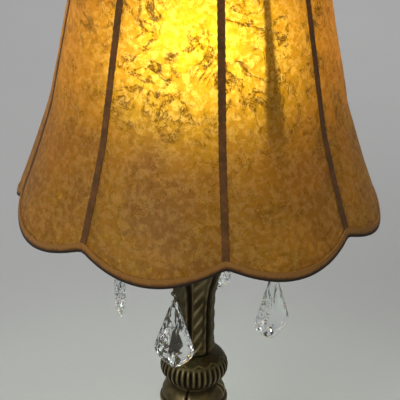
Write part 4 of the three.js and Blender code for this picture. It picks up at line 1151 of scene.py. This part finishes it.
def harp_side(side):
    """Half of the harp's line, from its foot to just beside its top."""
    foot = SADDLE_TOP + FIT_GAP * 2
    top = HARP_TOP - HARP_WIRE_RADIUS
    return [Vector((side * x, 0, z)) for x, z in (
        (HARP_FOOT_REACH, foot),
        (HARP_FOOT_REACH, foot + 15),
        (HARP_FOOT_REACH, foot + 30),
        (HARP_BOW_REACH * 0.85, foot + HARP_HEIGHT * 0.29),
        (HARP_BOW_REACH, foot + HARP_HEIGHT * 0.52),
        (HARP_BOW_REACH * 0.9, foot + HARP_HEIGHT * 0.74),
        (HARP_BOW_REACH * 0.5, top - HARP_HEIGHT * 0.06),
        (HARP_BOW_REACH * 0.22, top - HARP_HEIGHT * 0.012),
    )]


harp_knots = [*harp_side(-1), Vector((0, 0, HARP_TOP - HARP_WIRE_RADIUS)), *reversed(harp_side(1))]
points, faces = tube(curve(harp_knots, 8), HARP_WIRE_RADIUS, 16)
place("harp_wire", turn_to(points, HARP_TURN - 90), faces, "base", "brass", ["harp"])


def saddle_bar():
    """A flat bar that narrows from its middle to the tabs."""
    half = []
    for k in range(25):
        x = lerp(SADDLE_REACH, SADDLE_TAB_OUTSIDE, k / 24)
        half.append((x, lerp(SADDLE_HALF_WIDTH, SADDLE_TAB_HALF_WIDTH, smooth(x, SADDLE_REACH, 26))))
    plan = [
        *half, *[(x, -y) for x, y in reversed(half)],
        *[(-x, -y) for x, y in half], *[(-x, y) for x, y in reversed(half)],
    ]
    count = len(plan)
    points = [Vector((x, y, z)) for z in (SADDLE_BOTTOM, SADDLE_TOP) for x, y in plan]
    ends = [tuple(range(count)), tuple(range(2 * count - 1, count - 1, -1))]
    return points, grid_faces(2, count, False) + ends


def saddle_tab(side):
    """An upright tab at one end of the saddle, with all its edges rounded."""
    inside, outside = sorted((side * (SADDLE_TAB_OUTSIDE - SADDLE_SHEET), side * SADDLE_TAB_OUTSIDE))
    low = (inside, -SADDLE_TAB_HALF_WIDTH, SADDLE_BOTTOM)
    high = (outside, SADDLE_TAB_HALF_WIDTH, SADDLE_BOTTOM + SADDLE_TAB_HEIGHT)
    shape = bmesh.new()
    bmesh.ops.create_cube(shape, size=1)
    for vertex in shape.verts:
        vertex.co = Vector([lerp(low[n], high[n], vertex.co[n] + 0.5) for n in range(3)])
    bmesh.ops.bevel(shape, geom=shape.edges[:], offset=0.35, segments=3, affect="EDGES", profile=0.5)
    return taken(shape)


points, faces = combined(saddle_bar(), saddle_tab(-1), saddle_tab(1))
saddle = place("saddle_plate", turn_to(points, HARP_TURN - 90), faces, "base", "brass", ["harp_saddle"])
drilled(saddle, (0, 0, SADDLE_BOTTOM - 2), (0, 0, SADDLE_TOP + 2), BORE, 32)

ferrule_middle = (HARP_FOOT_REACH + HARP_WIRE_RADIUS + SADDLE_TAB_OUTSIDE - SADDLE_SHEET) / 2
ferrule_section = rounded(at_shares(SADDLE_TOP + FIT_GAP * 4, FERRULE_HEIGHT, (
    (FERRULE_BORE, 0),
    (FERRULE_RADIUS, 0),
    (FERRULE_RADIUS, 0.3),
    (FERRULE_RADIUS - 0.2, 0.36),
    (FERRULE_RADIUS - 0.2, 0.64),
    (FERRULE_RADIUS, 0.7),
    (FERRULE_RADIUS, 1),
    (FERRULE_BORE, 1),
)), 0.35, 3)
for name, side in (("left", -1), ("right", 1)):
    turned(f"ferrule_cap_{name}", ferrule_section, 48, f"ferrule_{name}", "brass", [f"ferrule_{name}"],
           middle=around(HARP_TURN, side * ferrule_middle, 0))


def thread(radius, low, high, pitch, depth):
    """The outer side of a section, with a ring for each turn of a thread."""
    made = []
    for k in range(int((high - low) / pitch)):
        made += [(radius - depth, low + pitch * k), (radius, low + pitch * (k + 0.5))]
    return [*made, (radius - depth, high)]


flange_top = STUD_BOTTOM + STUD_FLANGE_HEIGHT
stud_top = STUD_BOTTOM + STUD_HEIGHT
turned("stud_brass", [
    (CORE, STUD_BOTTOM),
    *rounded([
        (1, STUD_BOTTOM),
        (STUD_FLANGE_RADIUS, STUD_BOTTOM),
        (STUD_FLANGE_RADIUS, flange_top),
        (STUD_RADIUS + 0.8, flange_top),
    ], 0.5, 3, False),
    *thread(STUD_RADIUS, flange_top, stud_top - 0.4, STUD_PITCH, STUD_THREAD_DEPTH),
    (STUD_RADIUS - 0.8, stud_top),
    (CORE, stud_top),
], 48, "base", "brass", ["harp_stud"])

# Socket with its key, and the bulb

turned("socket_cap_brass", rounded(at_shares(SOCKET_BOTTOM, SOCKET_CAP_HEIGHT, (
    (BORE, 0), (SOCKET_NECK_RADIUS, 0), (SOCKET_NECK_RADIUS, 0.3), (SOCKET_CAP_RADIUS * 0.85, 0.5),
    (SOCKET_CAP_RADIUS, 0.7), (SOCKET_CAP_RADIUS, 1), (SOCKET_CAP_RADIUS - SOCKET_SHEET, 1),
    (SOCKET_CAP_RADIUS - SOCKET_SHEET, 0.72), (SOCKET_CAP_RADIUS * 0.85 - SOCKET_SHEET, 0.56),
    (BORE, 0.4),
)), 0.9, 4), 96, "base", "brass", ["socket_cap"])
shell_outside = SOCKET_CAP_RADIUS - SOCKET_SHEET - FIT_GAP
shell_bottom = SOCKET_BOTTOM + SOCKET_CAP_HEIGHT - 4.5
shell = turned("socket_shell_brass", dense(rounded([
    (shell_outside - SOCKET_SHEET, shell_bottom),
    (shell_outside, shell_bottom),
    (shell_outside, SOCKET_TOP - 9),
    (shell_outside - 0.25, SOCKET_TOP - 8.4),
    (shell_outside - 0.25, SOCKET_TOP - 6.6),
    (shell_outside, SOCKET_TOP - 6),
    (shell_outside, SOCKET_TOP),
    (shell_outside - SOCKET_SHEET, SOCKET_TOP),
], 0.4, 2), 2.5), 96, "base", "brass", ["socket_shell"])
hole_ends = [around(KEY_TURN, reach, KEY_HEIGHT) for reach in (8, 40)]
drilled(shell, *hole_ends, KEY_SHAFT_RADIUS + FIT_GAP, 20)


def key_paddle():
    """A flat oval with a pinched, ribbed grip."""
    shape = bmesh.new()
    bmesh.ops.create_uvsphere(shape, u_segments=32, v_segments=20, radius=KEY_PADDLE_RADIUS)
    for vertex in shape.verts:
        x, y, z = vertex.co
        pinch = 0.7 + 0.3 * smooth(abs(z), 0, 5) + 0.1 * abs(math.cos(z * 2.2))
        vertex.co = (KEY_PADDLE_MIDDLE + x, y * 0.2 * pinch, z)
    return taken(shape)


shaft_line = [Vector((reach, 0, 0)) for reach in (KEY_SHAFT_START, 18, 20.5, KEY_PADDLE_MIDDLE)]
points, faces = combined(tube(shaft_line, [KEY_SHAFT_RADIUS, KEY_SHAFT_RADIUS, 1.9, 1.2], 20), key_paddle())
points = turn_to(points, KEY_TURN - 90, (0, 0, KEY_HEIGHT))
place("key_paddle", points, faces, "switch_key", "black_phenolic", ["switch_key"])

thread_bottom = BULB_BOTTOM + 6.5
base_top = BULB_BOTTOM + BULB_BASE_HEIGHT
turned("bulb_screw_base", [
    *rounded(at_shares(BULB_BOTTOM, BULB_BASE_HEIGHT, (
        (CORE, 0), (4, 0), (4.4, 0.06), (BULB_BASE_RADIUS * 0.7, 0.12), (BULB_BASE_RADIUS - 0.8, 0.25),
    )), 0.8, 3, False),
    *thread(BULB_BASE_RADIUS, thread_bottom, base_top - 3, BULB_THREAD_PITCH, BULB_THREAD_DEPTH),
    (BULB_BASE_RADIUS - 0.5, base_top),
    (CORE, base_top),
], 96, "bulb", "steel", ["bulb_base"])


def on_bulb(latitude):
    across, up = circle(BULB_RADIUS, latitude)
    return across, BULB_MIDDLE + up


turned("bulb_envelope", [
    (0.3, BULB_NECK_BOTTOM),
    *profile([
        (BULB_NECK_RADIUS, BULB_NECK_BOTTOM),
        (BULB_NECK_RADIUS + 0.2, SOCKET_TOP),
        (BULB_RADIUS * 0.55, lerp(SOCKET_TOP, BULB_MIDDLE, 0.35)),
        (24.2, BULB_MIDDLE - 17.5),
        *[on_bulb(latitude) for latitude in (-18, -5, 10, 25, 40, 55, 70, 82)],
    ], 6),
    (0.3, BULB_TOP),
], 72, "bulb", "lit_glass", ["bulb_glass"])

# Bell shade


def rib_radius(height):
    cone = lerp(CONE_RIM_RADIUS, SHADE_TOP_RADIUS, height / SHADE_HEIGHT)
    return cone + SKIRT_FLARE * max(0, 1 - max(0, height) / SKIRT_HEIGHT) ** SKIRT_CURVE


def on_skin(panel, share, height, inset=0.0):
    """A place on the skin: share runs from one rib to the next, inset goes towards the axis."""
    inside = share % 1
    belly = 1 + PANEL_BELLY * 4 * inside * (1 - inside)
    angle = SHADE_TURN + (panel + share) * PANEL_ANGLE
    return around(angle, rib_radius(height) * belly - inset, SHADE_RIM + height)


def scallop(share):
    return -SCALLOP_DROP * math.sin(math.pi * (share % 1))


def panel_column(panel, share):
    """One line of a panel from its scalloped edge to its top, outside and back inside."""
    at = min(1 - PANEL_SEAM, max(PANEL_SEAM, share))
    low = scallop(share) if 0 < share < 1 else 0
    outside, inside = [], []
    for j in range(PANEL_ROWS + 1):
        height = lerp(low, SHADE_HEIGHT, (j / PANEL_ROWS) ** 1.25)
        spot = on_skin(panel, at, height)
        middle = math.sin(math.pi * share) * math.sin(math.pi * min(1, max(0, height / SHADE_HEIGHT)))
        sag = noise.noise(spot * 0.022) * 1.1 * middle + noise.noise(spot * 0.09) * 0.22 * middle
        outside.append(on_skin(panel, at, height, -sag))
        inside.append(on_skin(panel, at, height, PANEL_THICKNESS - sag))
    return outside + inside[::-1]


for panel in range(PANELS):
    points, faces = slab([panel_column(panel, i / PANEL_COLUMNS) for i in range(PANEL_COLUMNS + 1)])
    name = panel + 1
    place(f"parchment_panel_{name}", points, faces, "shade", "parchment", [f"shade_panel_{name}"], 50)

# Trims of the shade: softly gathered ribbon


def gathers(along, across):
    """How far a gathered ribbon stands up: soft uneven folds that fade towards its edges."""
    uneven = noise.noise(Vector((along * 0.09, across * 0.5, 3.7)))
    fold = 0.5 + 0.5 * math.sin(along * 1.35 + 2.4 * uneven)
    return 0.34 * fold * (0.35 + 0.65 * (1 - abs(across))) + 0.22 * uneven


def edge_trim(name, section, edge, nodes):
    """Trim round an edge of the shade from a section [inset, rise, how much it is gathered]."""
    points, light = [], []
    steps = 144
    around_shade = steps * PANELS
    for i in range(around_shade):
        panel, share = i // steps, i % steps / steps
        level = edge(share)
        if edge is scallop:
            level -= SCALLOP_DROP * 0.06 * bump(min(share, 1 - share), 0, 0.02)
        along = i / around_shade * 2 * math.pi * CONE_RIM_RADIUS
        for inset, rise, loose in section:
            swell = loose * gathers(along, rise / EDGE_TRIM_HEIGHT * 2 - 1)
            points.append(on_skin(panel, share, level + rise, inset - swell))
            # Low near the rolled edge, where the ribbon is painted dark: painted shade where the bottom
            # binding turns under
            light.append(smooth(abs(rise), -0.5, EDGE_TRIM_HEIGHT * 0.72))
    faces = grid_faces(around_shade, len(section), True)
    place(name, points, faces, "shade", "trim_ribbon", nodes, 60, light)


lip_reach = PANEL_THICKNESS + 2 * FRAME_WIRE_RADIUS + FIT_GAP * 2
under = -FIT_GAP - EDGE_TRIM_THICKNESS
outer_rows = [(EDGE_TRIM_HEIGHT * k / 10, min(1, 3 * k / 10, 3 * (10 - k) / 10)) for k in range(10, -1, -1)]
edge_trim("bottom_binding", [
    (-FIT_GAP, -FIT_GAP, 0),
    (-FIT_GAP, EDGE_TRIM_HEIGHT - 0.3, 0),
    (-FIT_GAP - 0.5, EDGE_TRIM_HEIGHT, 0),
    *[(under * 1.02, rise, loose) for rise, loose in outer_rows],
    (under * 0.85, -0.9, 0.3),
    (under * 0.4, under * 0.85, 0.2),
    (0.6, under, 0),
    (lip_reach * 0.6, under, 0),
    (lip_reach - 0.3, under, 0),
    (lip_reach, under * 0.6, 0),
    (lip_reach, -FIT_GAP, 0),
], scallop, ["bottom_trim"])
edge_trim("top_binding", [
    (-FIT_GAP, EDGE_TRIM_THICKNESS * 0.7, 0),
    (-FIT_GAP, -EDGE_TRIM_HEIGHT + 0.3, 0),
    (-FIT_GAP - 0.5, -EDGE_TRIM_HEIGHT, 0),
    *[(under * 1.02, -rise, loose) for rise, loose in outer_rows],
    (under * 0.9, EDGE_TRIM_THICKNESS * 0.8, 0.1),
    (under * 0.6, EDGE_TRIM_THICKNESS, 0),
], lambda share: SHADE_HEIGHT, ["top_trim"])


def ribbon_row(rib, height):
    """One row across a rib's ribbon, along its underside and back over its top."""
    pull = 1 + 0.05 * math.sin(height * 0.9) + 0.05 * noise.noise(Vector((height * 0.15, rib * 5, 0)))
    half = TRIM_WIDTH / 2 * pull / (rib_radius(height) * 2 * math.pi / PANELS)
    top, bottom = [], []
    for j in range(TRIM_COLUMNS + 1):
        across = j / TRIM_COLUMNS * 2 - 1
        crown = 0.25 * (1 - across**2) + gathers(height + rib * 31, across)
        top.append(on_skin(rib, across * half, height, -FIT_GAP - TRIM_THICKNESS * 0.55 - crown))
        bottom.append(on_skin(rib, across * half, height, -FIT_GAP * 0.8))
    return bottom + top[::-1]


ribbon_low = EDGE_TRIM_HEIGHT - TRIM_OVERLAP
ribbon_high = SHADE_HEIGHT - EDGE_TRIM_HEIGHT - FIT_GAP
ribbon_heights = [lerp(ribbon_low, ribbon_high, i / TRIM_ROWS) for i in range(TRIM_ROWS + 1)]
for rib in range(PANELS):
    points, faces = slab([ribbon_row(rib, height) for height in ribbon_heights])
    name, light = rib + 1, [0.45] * len(points)
    place(f"rib_ribbon_{name}", points, faces, "shade", "trim_ribbon", [f"rib_trim_{name}"], 60, light)

# Wire frame of the shade, its spider and the finial

wire_low = FRAME_WIRE_RADIUS + FIT_GAP
wire_high = SHADE_HEIGHT - FRAME_WIRE_RADIUS - FIT_GAP
wire_top_radius = rib_radius(wire_high) - WIRE_INSET
frame_parts = []
bottom_line, top_line = [], []
for panel in range(PANELS):
    for k in range(24):
        share = k / 24
        bottom_line.append(on_skin(panel, share, scallop(share) + wire_low, WIRE_INSET))
        angle = SHADE_TURN + (panel + share) * PANEL_ANGLE
        top_line.append(around(angle, wire_top_radius, SHADE_RIM + wire_high))
    rib_line = [on_skin(panel, 0, lerp(wire_low, wire_high, k / 40), WIRE_INSET) for k in range(41)]
    frame_parts.append(tube(rib_line, FRAME_WIRE_RADIUS, 12))
    for weld, lean in ((rib_line[0], 1), (rib_line[-1], -1)):
        bead = [weld + Vector((0, 0, lean * (k * 0.8 - 1.6))) for k in range(6)]
        frame_parts.append(tube(bead, [1.0, 1.7, 1.95, 1.95, 1.75, 1.3], 12))
frame_parts += [tube(line, FRAME_WIRE_RADIUS, 12, True) for line in (bottom_line, top_line)]
place("wire_frame", *combined(*frame_parts), "shade", "wire", ["shade_frame"])

spoke_radius = FRAME_WIRE_RADIUS * 0.9
spoke_root = SPIDER_TOP - spoke_radius - FIT_GAP
spoke_reach = wire_top_radius - FRAME_WIRE_RADIUS * 1.8
spider_parts = []
for turn in (0, 90, 180, 270):
    spoke = curve([around(SHADE_TURN + turn, reach, height) for reach, height in (
        (spoke_reach, SHADE_RIM + wire_high),
        (spoke_reach * 0.9, lerp(spoke_root, SHADE_RIM + wire_high, 0.3)),
        (spoke_reach * 0.7, spoke_root + FRAME_WIRE_RADIUS),
        (SPIDER_RADIUS - FRAME_WIRE_RADIUS, spoke_root),
    )], 14)
    spider_parts.append(tube(spoke, spoke_radius, 14))
washer = rounded([
    (STUD_RADIUS + FIT_GAP, SPIDER_BOTTOM),
    (SPIDER_RADIUS, SPIDER_BOTTOM),
    (SPIDER_RADIUS, SPIDER_TOP),
    (STUD_RADIUS + FIT_GAP, SPIDER_TOP),
], 0.4, 3)
washer_points = [around(5 * i, radius, height) for i in range(72) for radius, height in washer]
spider_parts.append((washer_points, grid_faces(72, len(washer), True)))
place("spider_wire", *combined(*spider_parts), "shade", "wire", ["shade_spider"])


def finial_relief(radius, height, angle):
    """Lobes round the middle of the finial."""
    share = (height - FINIAL_BOTTOM) / FINIAL_HEIGHT
    if radius < FINIAL_HOLE_RADIUS + 0.2 and share < 0.3:
        return HIDDEN
    ridge = ridges(angle, FINIAL_LOBES)
    body = smooth(share, 0.33, 0.42) * smooth(share, 0.84, 0.74)
    return body * 0.9 * (ridge**0.8 - 1), 0.4 + 0.5 * body * ridge**4 - 0.3 * body * (1 - ridge)


def on_finial(*knots):
    """Points of the finial's section, from shares of its radius and of its height."""
    return at_shares(FINIAL_BOTTOM, FINIAL_HEIGHT, [(FINIAL_RADIUS * wide, share) for wide, share in knots])


turned("finial_casting", [
    (CORE, FINIAL_BOTTOM + FINIAL_HOLE_DEPTH),
    (FINIAL_HOLE_RADIUS, FINIAL_BOTTOM + FINIAL_HOLE_DEPTH),
    (FINIAL_HOLE_RADIUS, FINIAL_BOTTOM),
    *rounded(on_finial((0.7, 0), (0.8, 0), (0.8, 0.08), (0.48, 0.2), (0.48, 0.28)), 1, 4, False),
    *profile(on_finial(
        (0.48, 0.3), (0.82, 0.38), (1, 0.5), (0.96, 0.6), (0.85, 0.68), (0.52, 0.79), (0.3, 0.86),
        (0.35, 0.92), (0.2, 0.98),
    ), 6),
    (CORE, FINIAL_BOTTOM + FINIAL_HEIGHT),
], 144, "finial", "bronze", ["finial"], finial_relief, 50)

# Small parts at the foot, and finishes for the CAD nodes that stay


def felt_relief(radius, height, angle):
    """A slightly uneven edge."""
    return -0.3 * abs(noise.noise(Vector((angle * 0.8, height, 0)))) * (radius > FOOT_RADIUS - 3), 0.3


turned("felt_disc", dense(rounded([
    (CORE, 0),
    (FOOT_RADIUS - 2, 0),
    (FOOT_RADIUS - 2, FOOT_BOTTOM - SEAT_GAP),
    (CORE, FOOT_BOTTOM - SEAT_GAP),
], 0.4, 3), 3), 240, "base", "felt", ["felt_pad"], felt_relief)

bushing_seat = FOOT_RADIUS + FIT_GAP
bushing_section = rounded([
    (BUSHING_BORE, bushing_seat - BUSHING_DEPTH),
    (BUSHING_RADIUS, bushing_seat - BUSHING_DEPTH),
    (BUSHING_RADIUS, bushing_seat),
    (BUSHING_FLANGE_RADIUS, bushing_seat),
    (BUSHING_FLANGE_RADIUS, bushing_seat + BUSHING_FLANGE_HEIGHT),
    (BUSHING_BORE, bushing_seat + BUSHING_FLANGE_HEIGHT),
], 0.6, 4)
points = []
for k in range(48):
    for radius, y in bushing_section:
        x, up = circle(radius, 7.5 * k)
        points.append(Vector((x, y, BUSHING_HEIGHT + up)))
faces = grid_faces(48, len(bushing_section), True)
place("bushing_ring", points, faces, "base", "black_phenolic", ["cord_bushing"])

for name, slot in (
    ("base_weight", "iron"),
    ("bottom_nut", "steel"),
    ("threaded_pipe", "steel"),
    ("socket_insulator", "insulating_card"),
    ("socket_interior", "black_phenolic"),
):
    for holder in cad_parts[name].material_slots:
        holder.material = finishes[slot]

# Floor, soft light and camera


def aimed(name, data, start, end, roll=0):
    """A lamp or the camera, held at start and looking at end."""
    made = held(name, data)
    made.location = start
    look = (Vector(end) - Vector(start)).to_track_quat("-Z", "Y").to_matrix()
    made.rotation_euler = (look @ Matrix.Rotation(math.radians(roll), 3, "Z")).to_euler()
    return made


floor_mesh = bpy.data.meshes.new("floor")
floor_mesh.from_pydata(FLOOR_CORNERS, [], [(0, 1, 2, 3)])
cover = Finish("floor_cover", roughness=0.9, specular_ior_level=0.1)
cover.colour(cover.blend(cover.grain(3, 2), tint(172, 172, 172), tint(177, 177, 177)))
floor_mesh.materials.append(cover.material)
held("floor", floor_mesh)

# The room is seen grey, also in the glass and the metal, and gives only a little light
world = bpy.data.worlds.new("room")
bpy.context.scene.world = world
world.use_nodes = True
sky, sky_links = world.node_tree.nodes, world.node_tree.links
dim = sky["Background"]
dim.inputs["Color"].default_value = (1, 1, 1, 1)
dim.inputs["Strength"].default_value = AMBIENT
backdrop = sky.new("ShaderNodeBackground")
backdrop.inputs["Color"].default_value = tint(172, 174, 172)
rays = sky.new("ShaderNodeLightPath").outputs
seen = rays["Is Camera Ray"]
for kind in ("Glossy", "Transmission"):
    either = sky.new("ShaderNodeMath")
    either.operation = "MAXIMUM"
    sky_links.new(seen, either.inputs[0])
    sky_links.new(rays[f"Is {kind} Ray"], either.inputs[1])
    seen = either.outputs[0]
room = sky.new("ShaderNodeMixShader")
for socket, output in zip(room.inputs, (seen, dim.outputs[0], backdrop.outputs[0])):
    sky_links.new(output, socket)
sky_links.new(room.outputs[0], sky["World Output"].inputs["Surface"])

# Lamps: place, aim, size in metres and watts
for name, spot, aim, size, watts in (
    ("key", (-1.3, -2.15, 1.65), (0, 0, 0.4), 1.5, 33),
    ("overhead", (0.4, 2.2, 3.0), (0.3, 2.2, 0), 3.8, 82),
    ("window", (-1.5, 0.7, 0.75), (0, 0, 0.3), 0.8, 1.5),
):
    lamp = bpy.data.lights.new(name, "AREA")
    lamp.shape = "DISK"
    lamp.size = size
    lamp.energy = watts
    aimed(name, lamp, spot, aim)

bulb_glow = bpy.data.lights.new("bulb_glow", "POINT")
bulb_glow.energy = BULB_WATTS
bulb_glow.shadow_soft_size = BULB_SOFTNESS * MM
bulb_glow.color = BULB_COLOUR
bulb_glow_holder = held("bulb_glow", bulb_glow)
bulb_glow_holder.location = (0, 0, (BULB_MIDDLE - 20) * MM)
bulb_glow_holder.visible_camera = False

camera = bpy.data.cameras.new("camera")
camera.sensor_width = SENSOR
camera.lens = LENS
back, up = circle(DISTANCE, ELEVATION)
bpy.context.scene.camera = aimed("camera", camera, AIM + Vector((0, -back, up)), AIM, ROLL)
bpy.context.scene.view_settings.view_transform = "Standard"
